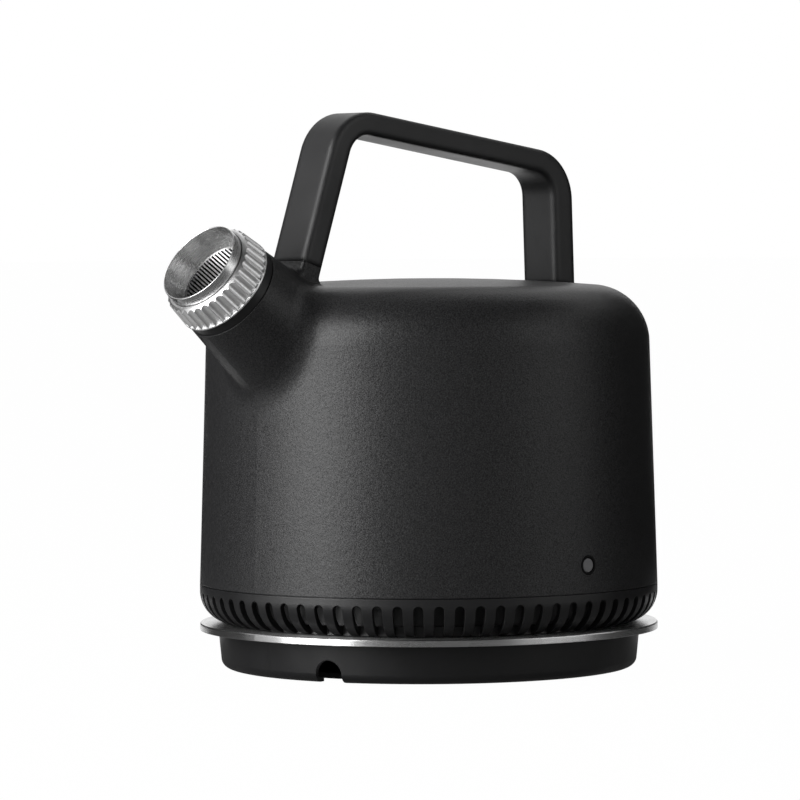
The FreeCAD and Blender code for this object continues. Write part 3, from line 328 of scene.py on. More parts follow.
class Handling(Effect):
    """Soft smears that hands and wiping leave."""

    CLEAN = 0.35
    SMEARED = 0.7

    def wire(self, wiring: Wiring, given: Any, result: Any) -> None:
        """Fills the group; see Effect.wire."""
        smear = wiring.node("ShaderNodeTexNoise", {"Vector": given["Vector"], "Scale": given["Coarseness"],
                                                   "Detail": 5.0, "Roughness": 0.55, "Distortion": 0.6})
        wiring.feed(result["Smear"], wiring.ramp(smear.outputs[0], self.CLEAN, self.SMEARED, *FULL))


class EdgeRub(Effect):
    """Softened edges and the slight rub that they get."""

    SAMPLES = 6
    FLAT = 0.99
    RUBBED = 0.8

    def wire(self, wiring: Wiring, given: Any, result: Any) -> None:
        """Fills the group; see Effect.wire."""
        soft = wiring.node("ShaderNodeBevel", {"Radius": given["Radius"]}, samples=self.SAMPLES).outputs[0]
        true = wiring.node("ShaderNodeNewGeometry").outputs["Normal"]
        product = wiring.node("ShaderNodeVectorMath", {0: soft, 1: true}, operation="DOT_PRODUCT")
        cosine = product.outputs["Value"]
        wiring.feed(result["Mask"], wiring.ramp(cosine, self.FLAT, self.RUBBED, *FULL))
        wiring.feed(result["Normal"], soft)


COAT_FLECK = CoatFleck("coat_fleck", (("Vector", VECTOR), ("Fineness", FLOAT), ("Share", FLOAT)),
                       (("Flake", FLOAT), ("Height", FLOAT), ("Tone", FLOAT)))
MOULD_GRAIN = MouldGrain("mould_grain", (("Vector", VECTOR), ("Fineness", FLOAT)),
                         (("Height", FLOAT), ("Tone", FLOAT), ("Drift", FLOAT)))
LATHE_MARKS = LatheMarks("lathe_marks", (("Vector", VECTOR), ("Fineness", FLOAT)),
                         (("Height", FLOAT), ("Tone", FLOAT)))
HANDLING = Handling("handling", (("Vector", VECTOR), ("Coarseness", FLOAT)), (("Smear", FLOAT),))
EDGE_RUB = EdgeRub("edge_rub", (("Radius", FLOAT),), (("Mask", FLOAT), ("Normal", VECTOR)))


@dataclass(frozen=True)
class Finish:
    """A surface finish that makes one material.

    Tones are factors of the colour at both ends of the grain, and swing is what the grain adds to the
    roughness there. Wear is how far the edges are rubbed to the worn tone. Depth and strength are those of
    the relief.
    """

    name: str
    colour: Colour
    roughness: float
    edge: float = 0.4 * MM
    tones: Span = (0.8, 1.2)
    swing: Span = (-0.04, 0.06)
    wear: float = 0.35
    worn_tone: float = 2.0
    depth: float = 0.10 * MM
    strength: float = 0.3

    def material(self) -> bpy.types.Material:
        """Returns the finish's material, built on its first use."""
        known = bpy.data.materials.get(self.name)
        if known:
            return known
        made = bpy.data.materials.new(self.name)
        wiring = bare_tree(made)
        shader = wiring.node("ShaderNodeBsdfPrincipled")
        wiring.node("ShaderNodeOutputMaterial", {0: shader.outputs[0]})
        place = wiring.node("ShaderNodeTexCoord").outputs["Object"]
        self.wire(wiring, shader.inputs, place)
        return made

    def wire(self, wiring: Wiring, shader: Any, place: bpy.types.NodeSocket) -> None:
        """Joins the finish's detail to its shader.

        Args:
            wiring: Builder of the material's tree.
            shader: Input sockets of the Principled shader.
            place: Object coordinates.
        """
        raise NotImplementedError

    def shade(self, factor: float) -> tuple[float, float, float, float]:
        """Returns the finish's colour, made lighter or darker.

        Args:
            factor: 1 leaves it as it is.
        """
        red, green, blue = (min(1.0, part * factor) for part in self.colour)
        return red, green, blue, 1.0

    def tint(self, wiring: Wiring, tone: Any) -> bpy.types.NodeSocket:
        """Returns the colour, which goes with a tone from darker to lighter.

        Args:
            wiring: Builder of the material's tree.
            tone: Tone socket, 0 to 1.
        """
        dark, light = self.tones
        return wiring.blend(tone, self.shade(dark), self.shade(light))

    def rubbed(self, wiring: Wiring, mask: Any, ground: Any) -> bpy.types.NodeSocket:
        """Returns a colour with rubbed edges.

        Args:
            wiring: Builder of the material's tree.
            mask: Socket that is 1 on the edges.
            ground: Colour socket between them.
        """
        return wiring.blend(wiring.math("MULTIPLY", mask, self.wear), ground, self.shade(self.worn_tone))

    def dullness(self, wiring: Wiring, tone: Any, reach: Span) -> bpy.types.NodeSocket:
        """Returns a roughness that goes with a tone.

        Args:
            wiring: Builder of the material's tree.
            tone: Tone socket.
            reach: Tones at which the swing reaches its ends.
        """
        first, last = self.swing
        return wiring.ramp(tone, *reach, self.roughness + first, self.roughness + last)

    def relief(self, wiring: Wiring, height: Any, under: Any) -> bpy.types.NodeSocket:
        """Adds a bump.

        Args:
            wiring: Builder of the material's tree.
            height: Height socket.
            under: Normal that the bump lies on.

        Returns:
            The normal socket.
        """
        values = {"Height": height, "Distance": self.depth, "Strength": self.strength, "Normal": under}
        return wiring.node("ShaderNodeBump", values).outputs[0]


@dataclass(frozen=True)
class PowderCoat(Finish):
    """Baked powder coat with fine pale flakes."""

    tones: Span = (0.5, 1.5)
    swing: Span = (-0.09, 0.09)
    wear: float = 0.25
    worn_tone: float = 2.2
    depth: float = 0.25 * MM
    strength: float = 0.6
    flake: Colour = (0.05, 0.05, 0.052)
    fineness: float = 1900.0
    share: float = 0.3
    flake_metal: float = 0.35
    specular: float = 0.3
    shine: Span = (0.45, 1.65)
    shine_reach: Span = (0.32, 0.68)
    smear_scale: float = 14.0
    smear_dull: float = 0.03

    def wire(self, wiring: Wiring, shader: Any, place: bpy.types.NodeSocket) -> None:
        """Joins the coat's flakes and grain; see Finish.wire."""
        coat = COAT_FLECK.place(wiring, Vector=place, Fineness=self.fineness, Share=self.share).outputs
        rub = EDGE_RUB.place(wiring, Radius=self.edge).outputs
        smear = HANDLING.place(wiring, Vector=place, Coarseness=self.smear_scale).outputs["Smear"]
        ground = self.tint(wiring, coat["Tone"])
        flaked = wiring.blend(coat["Flake"], ground, (*self.flake, 1.0))
        rough = self.dullness(wiring, coat["Tone"], MOST_NOISE)
        dulled = wiring.math("ADD", rough, wiring.math("MULTIPLY", smear, self.smear_dull))
        dim, bright = (part * self.specular for part in self.shine)
        wiring.feed(shader["Base Color"], self.rubbed(wiring, rub["Mask"], flaked))
        wiring.feed(shader["Roughness"], dulled)
        wiring.feed(shader["Metallic"], wiring.math("MULTIPLY", coat["Flake"], self.flake_metal))
        wiring.feed(shader["Specular IOR Level"], wiring.ramp(coat["Tone"], *self.shine_reach, dim, bright))
        wiring.feed(shader["Normal"], self.relief(wiring, coat["Height"], rub["Normal"]))


@dataclass(frozen=True)
class MouldedPlastic(Finish):
    """Moulded plastic with a fine grain."""

    fineness: float = 2600.0
    specular: float = 0.4
    smear_scale: float = 22.0
    smear_gloss: float = 0.05

    def wire(self, wiring: Wiring, shader: Any, place: bpy.types.NodeSocket) -> None:
        """Joins the mould's grain; see Finish.wire."""
        grain = MOULD_GRAIN.place(wiring, Vector=place, Fineness=self.fineness).outputs
        rub = EDGE_RUB.place(wiring, Radius=self.edge).outputs
        smear = HANDLING.place(wiring, Vector=place, Coarseness=self.smear_scale).outputs["Smear"]
        ground = self.tint(wiring, grain["Tone"])
        rough = self.dullness(wiring, grain["Drift"], MOST_NOISE)
        polished = wiring.math("SUBTRACT", rough, wiring.math("MULTIPLY", smear, self.smear_gloss))
        wiring.feed(shader["Base Color"], self.rubbed(wiring, rub["Mask"], ground))
        wiring.feed(shader["Roughness"], polished)
        wiring.feed(shader["Normal"], self.relief(wiring, grain["Height"], rub["Normal"]))
        shader["Specular IOR Level"].default_value = self.specular


@dataclass(frozen=True)
class TurnedSteel(Finish):
    """Bright steel with lathe marks round an axis."""

    tones: Span = (0.82, 1.12)
    swing: Span = (0.08, -0.04)
    wear: float = 0.4
    worn_tone: float = 1.3
    depth: float = 0.02 * MM
    strength: float = 0.25
    turning: Turning = Turning.UPRIGHT
    fineness: float = 4200.0
    spread: float = 0.7
    smear_scale: float = 40.0
    smear_dull: float = 0.06

    def axis(self) -> Matrix:
        """Returns the matrix that takes +Z at the origin to the axis of the marks."""
        return SPOUT.turn() if self.turning is Turning.SPOUT else Matrix.Identity(4)

    def grain_way(self, wiring: Wiring, place: bpy.types.NodeSocket) -> bpy.types.NodeSocket:
        """Returns the way that the marks run at each point.

        Args:
            wiring: Builder of the material's tree.
            place: Object coordinates.
        """
        turn = self.axis()
        values = {0: place, 1: turn.to_translation()}
        arm = wiring.node("ShaderNodeVectorMath", values, operation="SUBTRACT")
        values = {0: turn.to_3x3() @ Vector((0.0, 0.0, 1.0)), 1: arm.outputs[0]}
        way = wiring.node("ShaderNodeVectorMath", values, operation="CROSS_PRODUCT")
        turned = wiring.node("ShaderNodeVectorTransform", {0: way.outputs[0]}, convert_from="OBJECT",
                             convert_to="WORLD")
        return turned.outputs[0]

    def wire(self, wiring: Wiring, shader: Any, place: bpy.types.NodeSocket) -> None:
        """Joins the lathe marks; see Finish.wire."""
        axis_place = place
        if self.turning is Turning.SPOUT:
            back = self.axis().inverted()
            values = {"Vector": place, "Location": back.to_translation(), "Rotation": back.to_euler()}
            axis_place = wiring.node("ShaderNodeMapping", values).outputs[0]
        marks = LATHE_MARKS.place(wiring, Vector=axis_place, Fineness=self.fineness).outputs
        smear = HANDLING.place(wiring, Vector=place, Coarseness=self.smear_scale).outputs["Smear"]
        rub = EDGE_RUB.place(wiring, Radius=self.edge).outputs
        ground = self.tint(wiring, marks["Tone"])
        rough = self.dullness(wiring, marks["Tone"], FULL)
        dulled = wiring.math("ADD", rough, wiring.math("MULTIPLY", smear, self.smear_dull))
        wiring.feed(shader["Base Color"], self.rubbed(wiring, rub["Mask"], ground))
        wiring.feed(shader["Roughness"], dulled)
        wiring.feed(shader["Normal"], self.relief(wiring, marks["Height"], rub["Normal"]))
        wiring.feed(shader["Tangent"], self.grain_way(wiring, place))
        shader["Anisotropic"].default_value = self.spread
        shader["Anisotropic Rotation"].default_value = ACROSS_MARKS
        shader["Metallic"].default_value = 1.0


@dataclass(frozen=True)
class PlainMetal(Finish):
    """Stamped, cast or machined metal with a light grain."""

    tones: Span = (0.7, 1.15)
    swing: Span = (-0.06, 0.1)
    wear: float = 0.4
    worn_tone: float = 1.4
    depth: float = 0.03 * MM
    strength: float = 0.2
    fineness: float = 900.0

    def wire(self, wiring: Wiring, shader: Any, place: bpy.types.NodeSocket) -> None:
        """Joins the metal's grain; see Finish.wire."""
        grain = MOULD_GRAIN.place(wiring, Vector=place, Fineness=self.fineness).outputs
        rub = EDGE_RUB.place(wiring, Radius=self.edge).outputs
        ground = self.tint(wiring, grain["Drift"])
        wiring.feed(shader["Base Color"], self.rubbed(wiring, rub["Mask"], ground))
        wiring.feed(shader["Roughness"], self.dullness(wiring, grain["Tone"], MOST_NOISE))
        wiring.feed(shader["Normal"], self.relief(wiring, grain["Height"], rub["Normal"]))
        shader["Metallic"].default_value = 1.0


@dataclass(frozen=True)
class Laminate(Finish):
    """Circuit board with printed copper tracks under its lacquer."""

    swing: Span = (0.0, -0.1)
    depth: float = 0.04 * MM
    track: Colour = (0.10, 0.34, 0.16)
    track_edge: Span = (0.62, 0.7)
    pitch: float = 420.0

    def wire(self, wiring: Wiring, shader: Any, place: bpy.types.NodeSocket) -> None:
        """Joins the tracks; see Finish.wire."""
        values = {"Vector": place, "Scale": self.pitch, "Distortion": 3.0, "Detail": 1.0}
        bands = wiring.node("ShaderNodeTexWave", values, bands_direction="DIAGONAL").outputs[1]
        tracks = wiring.ramp(bands, *self.track_edge, *FULL)
        rub = EDGE_RUB.place(wiring, Radius=self.edge).outputs
        wiring.feed(shader["Base Color"], wiring.blend(tracks, self.shade(1.0), (*self.track, 1.0)))
        wiring.feed(shader["Roughness"], self.dullness(wiring, tracks, FULL))
        wiring.feed(shader["Normal"], self.relief(wiring, tracks, rub["Normal"]))


@dataclass(frozen=True)
class ClearLens(Finish):
    """Clear moulded lens."""

    tones: Span = (0.9, 1.05)
    swing: Span = (0.0, 0.15)
    haze_scale: float = 300.0
    clearness: float = 0.85
    index: float = 1.49

    def wire(self, wiring: Wiring, shader: Any, place: bpy.types.NodeSocket) -> None:
        """Joins the lens's haze; see Finish.wire."""
        haze = HANDLING.place(wiring, Vector=place, Coarseness=self.haze_scale).outputs["Smear"]
        wiring.feed(shader["Base Color"], self.tint(wiring, haze))
        wiring.feed(shader["Roughness"], self.dullness(wiring, haze, FULL))
        shader["Transmission Weight"].default_value = self.clearness
        shader["IOR"].default_value = self.index


class Finishes(Enum):
    """Finishes of the kettle and its stand."""

    COAT = PowderCoat("charcoal_coat", (0.0145, 0.0145, 0.015), roughness=0.39)
    HANDLE = MouldedPlastic("handle_black", (0.0125, 0.0125, 0.013), roughness=0.42, edge=3.2 * MM, wear=0.0)
    STAND = MouldedPlastic("stand_black", (0.0075, 0.0075, 0.0079), roughness=0.42)
    VENT = MouldedPlastic("vent_black", (0.0105, 0.0105, 0.011), roughness=0.40)
    BUTTON = MouldedPlastic("button_grey", (0.19, 0.19, 0.195), roughness=0.38, fineness=3600.0,
                            depth=0.05 * MM)
    GUIDE = MouldedPlastic("guide_black", (0.003, 0.003, 0.003), roughness=0.62, wear=0.0, specular=0.15)
    HOUSING = MouldedPlastic("inner_grey", (0.22, 0.225, 0.23), roughness=0.5)
    HEAT_PROOF = MouldedPlastic("inner_pale", (0.70, 0.69, 0.64), roughness=0.5)
    RELAY = MouldedPlastic("relay_blue", (0.05, 0.12, 0.28), roughness=0.45)
    INSULATION = MouldedPlastic("lead_red", (0.34, 0.035, 0.03), roughness=0.45)
    RUBBER = MouldedPlastic("foot_rubber", (0.013, 0.013, 0.013), roughness=0.72, fineness=1500.0,
                            depth=0.2 * MM, specular=0.25)
    PLATE = TurnedSteel("plate_steel", (0.66, 0.66, 0.66), roughness=0.24)
    SPOUT_STEEL = TurnedSteel("spout_steel", (0.78, 0.78, 0.78), roughness=0.38, edge=0.25 * MM,
                              turning=Turning.SPOUT)
    FUNNEL_STEEL = TurnedSteel("funnel_steel", (0.74, 0.74, 0.74), roughness=0.22, edge=0.25 * MM,
                               turning=Turning.SPOUT)
    SCREEN = PlainMetal("screen_steel", (0.52, 0.52, 0.52), roughness=0.3, edge=0.1 * MM)
    STEEL = PlainMetal("plain_steel", (0.50, 0.50, 0.50), roughness=0.34)
    BRASS = PlainMetal("contact_brass", (0.72, 0.52, 0.22), roughness=0.3)
    ALLOY = PlainMetal("cast_alloy", (0.62, 0.62, 0.63), roughness=0.48, fineness=700.0, depth=0.08 * MM)
    BOARD = Laminate("board_green", (0.03, 0.16, 0.07), roughness=0.35)
    LENS = ClearLens("light_lens", (0.86, 0.90, 0.94), roughness=0.08)


NODE_FINISHES: dict[Finishes, tuple[str, ...]] = {
    Finishes.COAT: ("body_shell",),
    Finishes.HANDLE: ("handle_grip",),
    Finishes.STAND: ("base_housing", "base_cover", "bottom_cover"),
    Finishes.VENT: ("vent_ring", "spout_collar"),
    Finishes.GUIDE: ("button_guide",),
    Finishes.BUTTON: ("button_cap",),
    Finishes.HOUSING: ("base_socket", "inlet_housing", "button_switch"),
    Finishes.HEAT_PROOF: ("mounting_posts", "thermal_cutout", "terminal_block", "switch_plunger"),
    Finishes.RELAY: ("power_relay",),
    Finishes.INSULATION: ("internal_leads",),
    Finishes.RUBBER: ("base_feet", "kettle_feet", "probe_gasket", "filter_seal", "handle_seals"),
    Finishes.PLATE: ("base_plate", "heater_plate"),
    Finishes.SPOUT_STEEL: ("filter_ring",),
    Finishes.FUNNEL_STEEL: ("filter_funnel",),
    Finishes.SCREEN: ("filter_mesh", "mesh_retainer"),
    Finishes.STEEL: ("base_cover_screws", "plate_studs", "plate_nuts", "inlet_clamp", "inlet_clamp_screws",
                     "bottom_cover_screws", "heating_element", "element_terminals", "temperature_probe",
                     "board_bracket", "board_screws", "handle_core", "handle_screws"),
    Finishes.BRASS: ("socket_live_contact", "socket_neutral_contact", "socket_earth_contact",
                     "inlet_neutral_ring", "inlet_pin", "inlet_earth_ring"),
    Finishes.ALLOY: ("heat_spreader",),
    Finishes.BOARD: ("control_board",),
    Finishes.LENS: ("indicator_light",),
}


@dataclass
class CarriedNodes:
    """Solids that keep their shape and get a finish."""

    finishes: dict[Finishes, tuple[str, ...]] = field(default_factory=lambda: dict(NODE_FINISHES))

    def dress(self) -> None:
        """Puts each node's finish on it."""
        for finish, names in self.finishes.items():
            for name in names:
                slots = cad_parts[name].data.materials
                slots.clear()
                slots.append(finish.value.material())
                LOG.info("dressed %s in %s", name, finish.value.name)


class Bench:
    """Shapes one mesh in edit mode, as by hand."""

    SMOOTH_ANGLE = math.radians(35.0)

    def __init__(self, name: str) -> None:
        """Keeps the name that the finished mesh gets.

        Args:
            name: Piece name.
        """
        self.name = name

    @property
    def piece(self) -> bpy.types.Object:
        """The object on the bench."""
        return bpy.context.view_layer.objects.active

    def cylinder(self, radius: float, low: float, high: float, sides: int = 48) -> None:
        """Starts a new mesh from an upright cylinder on the Z axis.

        Args:
            radius: Its radius.
            low: Level of its lower end.
            high: Level of its upper end.
            sides: Number of its sides.
        """
        bpy.ops.object.select_all(action="DESELECT")
        bpy.ops.mesh.primitive_cylinder_add(vertices=sides, radius=radius, depth=high - low,
                                            location=(0.0, 0.0, (low + high) / 2))
        bpy.ops.object.transform_apply(location=True, rotation=True, scale=True)
        self.piece.name = self.name

    def pick(self, test: Callable[[Vector, Vector], bool]) -> None:
        """Selects faces and opens edit mode.

        Args:
            test: Says from a face's centre and normal if it is taken.
        """
        bpy.ops.object.mode_set(mode="EDIT")
        bpy.context.tool_settings.mesh_select_mode = (False, False, True)
        bpy.ops.mesh.select_all(action="DESELECT")
        bpy.ops.object.mode_set(mode="OBJECT")
        for face in self.piece.data.polygons:
            face.select = test(face.center, face.normal)
        bpy.ops.object.mode_set(mode="EDIT")

    def inset(self, width: float) -> None:
        """Insets the selected faces.

        Args:
            width: Width of the border that this leaves.
        """
        bpy.ops.mesh.inset(thickness=width, depth=0.0)

    def pull(self, way: Vector) -> None:
        """Extrudes the selected faces.

        Args:
            way: How far they move, and which way.
        """
        bpy.ops.mesh.extrude_region_move(TRANSFORM_OT_translate={"value": way})

    def leave(self) -> None:
        """Goes back to object mode."""
        bpy.ops.object.mode_set(mode="OBJECT")

    def soften(self, width: float, segments: int = 2) -> None:
        """Rounds the sharp edges.

        Args:
            width: Width of the rounding.
            segments: Number of its steps.
        """
        edge = self.piece.modifiers.new("edge", "BEVEL")
        edge.width, edge.segments = width, segments
        edge.limit_method = "ANGLE"
        bpy.ops.object.modifier_apply(modifier=edge.name)
        bpy.ops.object.shade_smooth_by_angle(angle=self.SMOOTH_ANGLE)

    def repeat(self, places: Sequence[Vector]) -> None:
        """Copies the mesh to each place and joins the copies.

        Args:
            places: Where each copy goes.
        """
        first = self.piece
        copies = []
        for place in places:
            bpy.ops.object.select_all(action="DESELECT")
            first.select_set(True)
            bpy.context.view_layer.objects.active = first
            bpy.ops.object.duplicate()
            bpy.ops.transform.translate(value=place)
            bpy.ops.object.transform_apply(location=True, rotation=True, scale=True)
            copies.append(self.piece)
        bpy.data.objects.remove(first)
        for copy in copies:
            copy.select_set(True)
        bpy.context.view_layer.objects.active = copies[0]
        bpy.ops.object.join()
        self.piece.name = self.name

    def hand_over(self, body: Body, finish: Finishes, stands_for: str = "") -> None:
        """Gives the piece its finish and its body.

        Args:
            body: Body that it rides on.
            finish: Its finish.
            stands_for: Node that it takes the place of, if any.
        """
        piece = self.piece
        piece.data.materials.clear()
        piece.data.materials.append(finish.value.material())
        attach(piece, body.value)
        if stands_for:
            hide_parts(stands_for)
        LOG.info("modelled %s on %s", piece.name, body.value)


def ring_places(radius: float, count: int, first: float) -> list[Vector]:
    """Returns points spaced evenly round the kettle's axis.

    Args:
        radius: Radius of the circle that they lie on.
        count: Number of points.
        first: Angle of the first one from +X in degrees.
    """
    angles = (math.radians(first + 360.0 * index / count) for index in range(count))
    return [Vector((radius * math.cos(angle), radius * math.sin(angle), 0.0)) for angle in angles]


@dataclass
class RubberFeet:
    """Round rubber feet with ring grooves in their soles."""

    name: str
    node: str
    body: Body
    radius: float
    places: Sequence[Vector]
    land: float = 1.1 * MM
    groove: float = 0.5 * MM
    grooves: int = 3
    depth: float = 0.35 * MM
    edge: float = 0.15 * MM
    middle: float = 0.2 * MM
    slack: float = 0.01 * MM

    def build(self) -> None:
        """Models one foot and copies it to each place."""
        low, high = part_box(self.node)
        bench = Bench(self.name)
        bench.cylinder(self.radius, low[2], high[2])
        for index in range(self.grooves):
            outer = self.radius - self.land - index * (self.land + self.groove)
            bench.pick(lambda centre, normal: normal.z < -FACING and centre.xy.length < self.middle)
            bench.inset(self.land)
            bench.inset(self.groove)
            bench.pick(lambda centre, normal: normal.z < -FACING and centre.z < low[2] + self.slack
                       and outer - self.groove < centre.xy.length < outer)
            bench.pull(Vector((0.0, 0.0, self.depth)))
        bench.leave()
        bench.soften(self.edge)
        bench.repeat(self.places)
        bench.hand_over(self.body, Finishes.RUBBER, self.node)


@dataclass
class CrossScrews:
    """Pan-head screws with a cross recess, heads down."""

    name: str
    node: str
    body: Body
    head_radius: float
    head_height: float
    shank_radius: float
    places: Sequence[Vector]
    cross_length: float = 3.4 * MM
    cross_width: float = 0.7 * MM
    cross_depth: float = 0.7 * MM
    edge: float = 0.12 * MM
    sides: int = 40

    def build(self) -> None:
        """Models one screw and copies it to each place."""
        low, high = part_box(self.node)
        bench = Bench(self.name)
        bench.cylinder(self.head_radius, low[2], low[2] + self.head_height, self.sides)
        bench.pick(lambda centre, normal: normal.z > FACING)
        bench.inset(self.head_radius - self.shank_radius)
        bench.pull(Vector((0.0, 0.0, high[2] - low[2] - self.head_height)))
        bench.leave()
        screw = bench.piece
        for turn in (0.0, math.pi / 2):
            self.cut_bar(screw, low[2], turn)
        bench.soften(self.edge)
        bench.repeat(self.places)
        bench.hand_over(self.body, Finishes.STEEL, self.node)

    def cut_bar(self, screw: bpy.types.Object, low: float, turn: float) -> None:
        """Cuts one bar of the cross.

        Args:
            screw: Screw to cut.
            low: Level of the head's face.
            turn: Angle of the bar.
        """
        bpy.ops.object.select_all(action="DESELECT")
        bpy.ops.mesh.primitive_cube_add(size=1.0, location=(0.0, 0.0, low), rotation=(0.0, 0.0, turn),
                                        scale=(self.cross_length, self.cross_width, 2 * self.cross_depth))
        bpy.ops.object.transform_apply(location=True, rotation=True, scale=True)
        bar = bpy.context.view_layer.objects.active
        cut = screw.modifiers.new("cross", "BOOLEAN")
        cut.operation, cut.object = "DIFFERENCE", bar
        bpy.context.view_layer.objects.active = screw
        bpy.ops.object.modifier_apply(modifier=cut.name)
        bpy.data.objects.remove(bar)
        screw.select_set(True)


@dataclass
class CollarThread:
    """Round-topped thread on the boss that the filter ring screws on."""

    name: str = "collar_thread"
    boss_radius: float = 18.5 * MM
    ridge_radius: float = 0.42 * MM
    proud: float = 0.2 * MM
    start: float = -15.2 * MM
    lead: float = 4.0 * MM
    turns: float = 1.45
    steps: int = 150
    sides: int = 12
    smooth_angle: float = math.radians(40.0)

    def build(self) -> None:
        """Winds the ridge round the spout's axis."""
        bpy.ops.object.select_all(action="DESELECT")
        centre = self.boss_radius + self.proud - self.ridge_radius
        bpy.ops.mesh.primitive_circle_add(vertices=self.sides, radius=self.ridge_radius,
                                          location=(centre, 0.0, self.start),
                                          rotation=(math.pi / 2, 0.0, 0.0))
        bench = Bench(self.name)
        bpy.ops.object.transform_apply(location=True, rotation=True, scale=True)
        ridge = bench.piece
        ridge.name = self.name
        wind = ridge.modifiers.new("wind", "SCREW")
        wind.axis = "Z"
        wind.angle = 2 * math.pi * self.turns
        wind.screw_offset = self.lead * self.turns
        wind.steps = wind.render_steps = self.steps
        bpy.ops.object.modifier_apply(modifier=wind.name)
        bpy.ops.object.mode_set(mode="EDIT")
        bpy.context.tool_settings.mesh_select_mode = (False, True, False)
        bpy.ops.mesh.select_all(action="DESELECT")
        bpy.ops.mesh.select_non_manifold()
        bpy.ops.mesh.fill()
        bpy.ops.mesh.select_all(action="SELECT")
        bpy.ops.mesh.normals_make_consistent(inside=False)
        bpy.ops.object.mode_set(mode="OBJECT")
        ridge.matrix_world = SPOUT.turn()
        bpy.ops.object.transform_apply(location=True, rotation=True, scale=True)
        bpy.ops.object.shade_smooth_by_angle(angle=self.smooth_angle)
        bench.hand_over(Body.KETTLE, Finishes.VENT)


@dataclass(frozen=True)
class SoftBox:
    """Rectangular studio light."""

    name: str
    bearing: float
    distance: float
    height: float
    size: tuple[float, float]
    watts: float
    aim: tuple[float, float, float] = (0.0, 0.0, 0.10)

    def build(self) -> None:
        """Adds the light, turned to its aim."""
        data = bpy.data.lights.new(self.name, "AREA")
        data.shape = "RECTANGLE"
        data.size, data.size_y = self.size
        data.energy = self.watts
        light = bpy.data.objects.new(self.name, data)
        angle = math.radians(self.bearing)
        place = Vector((self.distance * math.cos(angle), self.distance * math.sin(angle), self.height))
        light.location = place
        light.rotation_euler = (Vector(self.aim) - place).to_track_quat("-Z", "Y").to_euler()
        bpy.context.scene.collection.objects.link(light)


@dataclass(frozen=True)
class Flag:
    """Card that stands for darker surroundings in the reflections, and shows nowhere else."""

    name: str
    bearing: float
    offset: tuple[float, float]
    size: tuple[float, float]
    level: float | None = None
    tone: float = 0.0
    sink: float = 0.2 * MM

    def build(self) -> None:
        """Adds the card, upright and facing the kettle, or flat where it has a level."""
        bpy.ops.object.select_all(action="DESELECT")
        angle = math.radians(self.bearing)
        out, aside = self.offset
        place_x = out * math.cos(angle) - aside * math.sin(angle)
        place_y = out * math.sin(angle) + aside * math.cos(angle)
        upright = self.level is None
        place_z = self.size[1] / 2 if upright else self.level - self.sink
        turn = (math.pi / 2 if upright else 0.0, 0.0, angle + math.pi / 2)
        bpy.ops.mesh.primitive_plane_add(size=1.0, location=(place_x, place_y, place_z), rotation=turn)
        card = bpy.context.active_object
        card.name = self.name
        card.scale = (*self.size, 1.0)
        card.visible_camera = card.visible_diffuse = card.visible_shadow = False
        material = bpy.data.materials.new(self.name)
        wiring = bare_tree(material)
        cloth = wiring.node("ShaderNodeEmission", {"Color": WHITE, "Strength": self.tone})
        wiring.node("ShaderNodeOutputMaterial", {0: cloth.outputs[0]})
        card.data.materials.append(material)


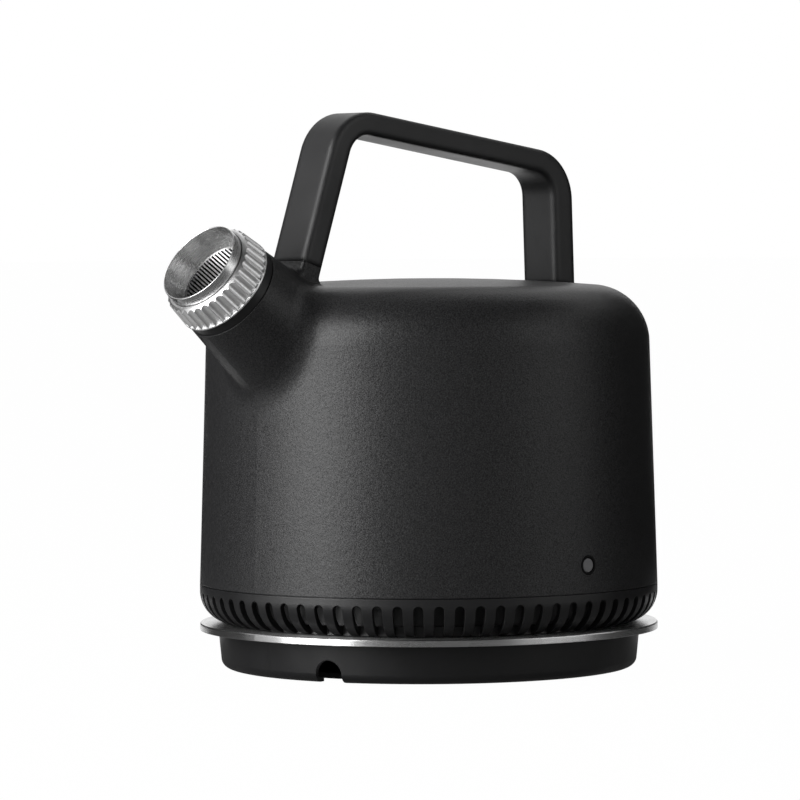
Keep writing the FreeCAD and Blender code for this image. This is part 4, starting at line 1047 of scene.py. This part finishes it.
@dataclass
class Studio:
    """Floor, light and camera."""

    bearing: float = 47.5
    distance: float = 1.867
    eye_height: float = 0.17525
    pitch: float = 1.974
    roll: float = 0.255
    lens: float = 202.5
    sensor: float = 36.0
    shift: float = -0.0349
    floor_half: float = 40.0
    floor_drop: float = 0.4 * MM
    floor_colour: Colour = (0.80, 0.80, 0.80)
    floor_white: float = 0.992
    world_light: float = 0.12
    clip: float = 200.0
    boxes: Sequence[SoftBox] = (
        SoftBox("key_box", bearing=-9.0, distance=1.4, height=0.6, size=(0.95, 1.2), watts=31.0),
        SoftBox("side_box", bearing=117.0, distance=1.5, height=0.6, size=(0.8, 1.2), watts=1.1),
        SoftBox("top_box", bearing=227.0, distance=0.5, height=1.5, size=(1.2, 1.0), watts=1.2),
    )
    flags: Sequence[Flag] = (
        Flag("front_card", bearing=47.5, offset=(0.45, 0.39), size=(1.22, 1.1), level=0.0, tone=0.12),
        Flag("left_card", bearing=47.5, offset=(-0.98, -1.2), size=(2.0, 2.0), level=0.0),
        Flag("right_card", bearing=47.5, offset=(-0.98, 1.2), size=(2.0, 2.0), level=0.0),
        Flag("front_flag", bearing=51.0, offset=(2.4, 0.0), size=(4.2, 2.2), tone=0.14),
        Flag("right_flag", bearing=173.0, offset=(2.0, 0.0), size=(3.4, 1.5), tone=0.02),
        Flag("left_flag", bearing=-82.0, offset=(2.0, 0.0), size=(3.0, 1.5), tone=0.02),
        Flag("top_flag", bearing=47.5, offset=(0.8, 0.0), size=(3.4, 3.6), level=1.9),
    )

    def build(self) -> None:
        """Builds the whole studio."""
        bpy.context.scene.view_settings.view_transform = "Standard"
        self.build_floor()
        self.build_world()
        for part in (*self.boxes, *self.flags):
            part.build()
        self.build_camera()

    def seen(self, wiring: Wiring) -> bpy.types.NodeSocket:
        """Returns 1 on camera, glossy and transmission rays.

        Args:
            wiring: Builder of the tree.
        """
        path = wiring.node("ShaderNodeLightPath").outputs
        shown = wiring.math("MAXIMUM", path["Is Camera Ray"], path["Is Glossy Ray"])
        return wiring.math("MAXIMUM", shown, path["Is Transmission Ray"])

    def build_floor(self) -> None:
        """Adds the pale floor, which keeps the shadow."""
        bpy.ops.object.select_all(action="DESELECT")
        bpy.ops.mesh.primitive_plane_add(size=2 * self.floor_half, location=(0.0, 0.0, -self.floor_drop))
        floor = bpy.context.active_object
        floor.name = "floor"
        material = bpy.data.materials.new("floor_white")
        wiring = bare_tree(material)
        paper = wiring.node("ShaderNodeBsdfDiffuse", {"Color": (*self.floor_colour, 1.0)})
        glow = wiring.node("ShaderNodeEmission", {"Color": WHITE, "Strength": 1.0})
        share = wiring.math("MULTIPLY", self.seen(wiring), self.floor_white)
        mixed = wiring.node("ShaderNodeMixShader", {0: share, 1: paper.outputs[0], 2: glow.outputs[0]})
        wiring.node("ShaderNodeOutputMaterial", {0: mixed.outputs[0]})
        floor.data.materials.append(material)

    def build_world(self) -> None:
        """Sets a white surround that lights the object softly."""
        world = bpy.data.worlds.new("studio")
        wiring = bare_tree(world)
        light = wiring.node("ShaderNodeBackground", {"Color": WHITE, "Strength": self.world_light})
        white = wiring.node("ShaderNodeBackground", {"Color": WHITE, "Strength": 1.0})
        values = {0: self.seen(wiring), 1: light.outputs[0], 2: white.outputs[0]}
        mixed = wiring.node("ShaderNodeMixShader", values)
        wiring.node("ShaderNodeOutputWorld", {0: mixed.outputs[0]})
        bpy.context.scene.world = world

    def build_camera(self) -> None:
        """Sets the camera at the photograph's angle."""
        data = bpy.data.cameras.new("view")
        data.lens = self.lens
        data.sensor_width = self.sensor
        data.shift_x = self.shift
        data.clip_end = self.clip
        camera = bpy.data.objects.new("view", data)
        angle, pitch = math.radians(self.bearing), math.radians(self.pitch)
        ground = Vector((math.cos(angle), math.sin(angle), 0.0))
        camera.location = ground * self.distance + Vector((0.0, 0.0, self.eye_height))
        forward = -ground * math.cos(pitch) - Vector((0.0, 0.0, math.sin(pitch)))
        turn = forward.to_track_quat("-Z", "Y") @ Quaternion((0.0, 0.0, 1.0), -math.radians(self.roll))
        camera.rotation_euler = turn.to_euler()
        bpy.context.scene.collection.objects.link(camera)
        bpy.context.scene.camera = camera


def main() -> None:
    """Builds the kettle's looks and its studio in order."""
    logging.basicConfig(level=logging.INFO, format="%(name)s: %(message)s")
    CarriedNodes().dress()
    stand_places = [Vector()] + ring_places(radius=62.0 * MM, count=4, first=45.0)
    RubberFeet("stand_feet", "base_feet", Body.BASE, radius=6.0 * MM, places=stand_places).build()
    RubberFeet("kettle_pads", "kettle_feet", Body.KETTLE, radius=5.0 * MM,
               places=ring_places(radius=52.0 * MM, count=4, first=0.0), grooves=2).build()
    CrossScrews("stand_screws", "base_cover_screws", Body.BASE, head_radius=2.8 * MM, head_height=1.1 * MM,
                shank_radius=1.4 * MM, places=ring_places(radius=36.0 * MM, count=3, first=80.0)).build()
    CrossScrews("kettle_screws", "bottom_cover_screws", Body.KETTLE, head_radius=3.6 * MM,
                head_height=2.2 * MM, shank_radius=1.9 * MM,
                places=ring_places(radius=67.0 * MM, count=4, first=45.0), cross_length=4.6 * MM,
                cross_width=0.9 * MM, cross_depth=1.3 * MM).build()
    CollarThread().build()
    Studio().build()


if __name__ == "__main__":
    main()
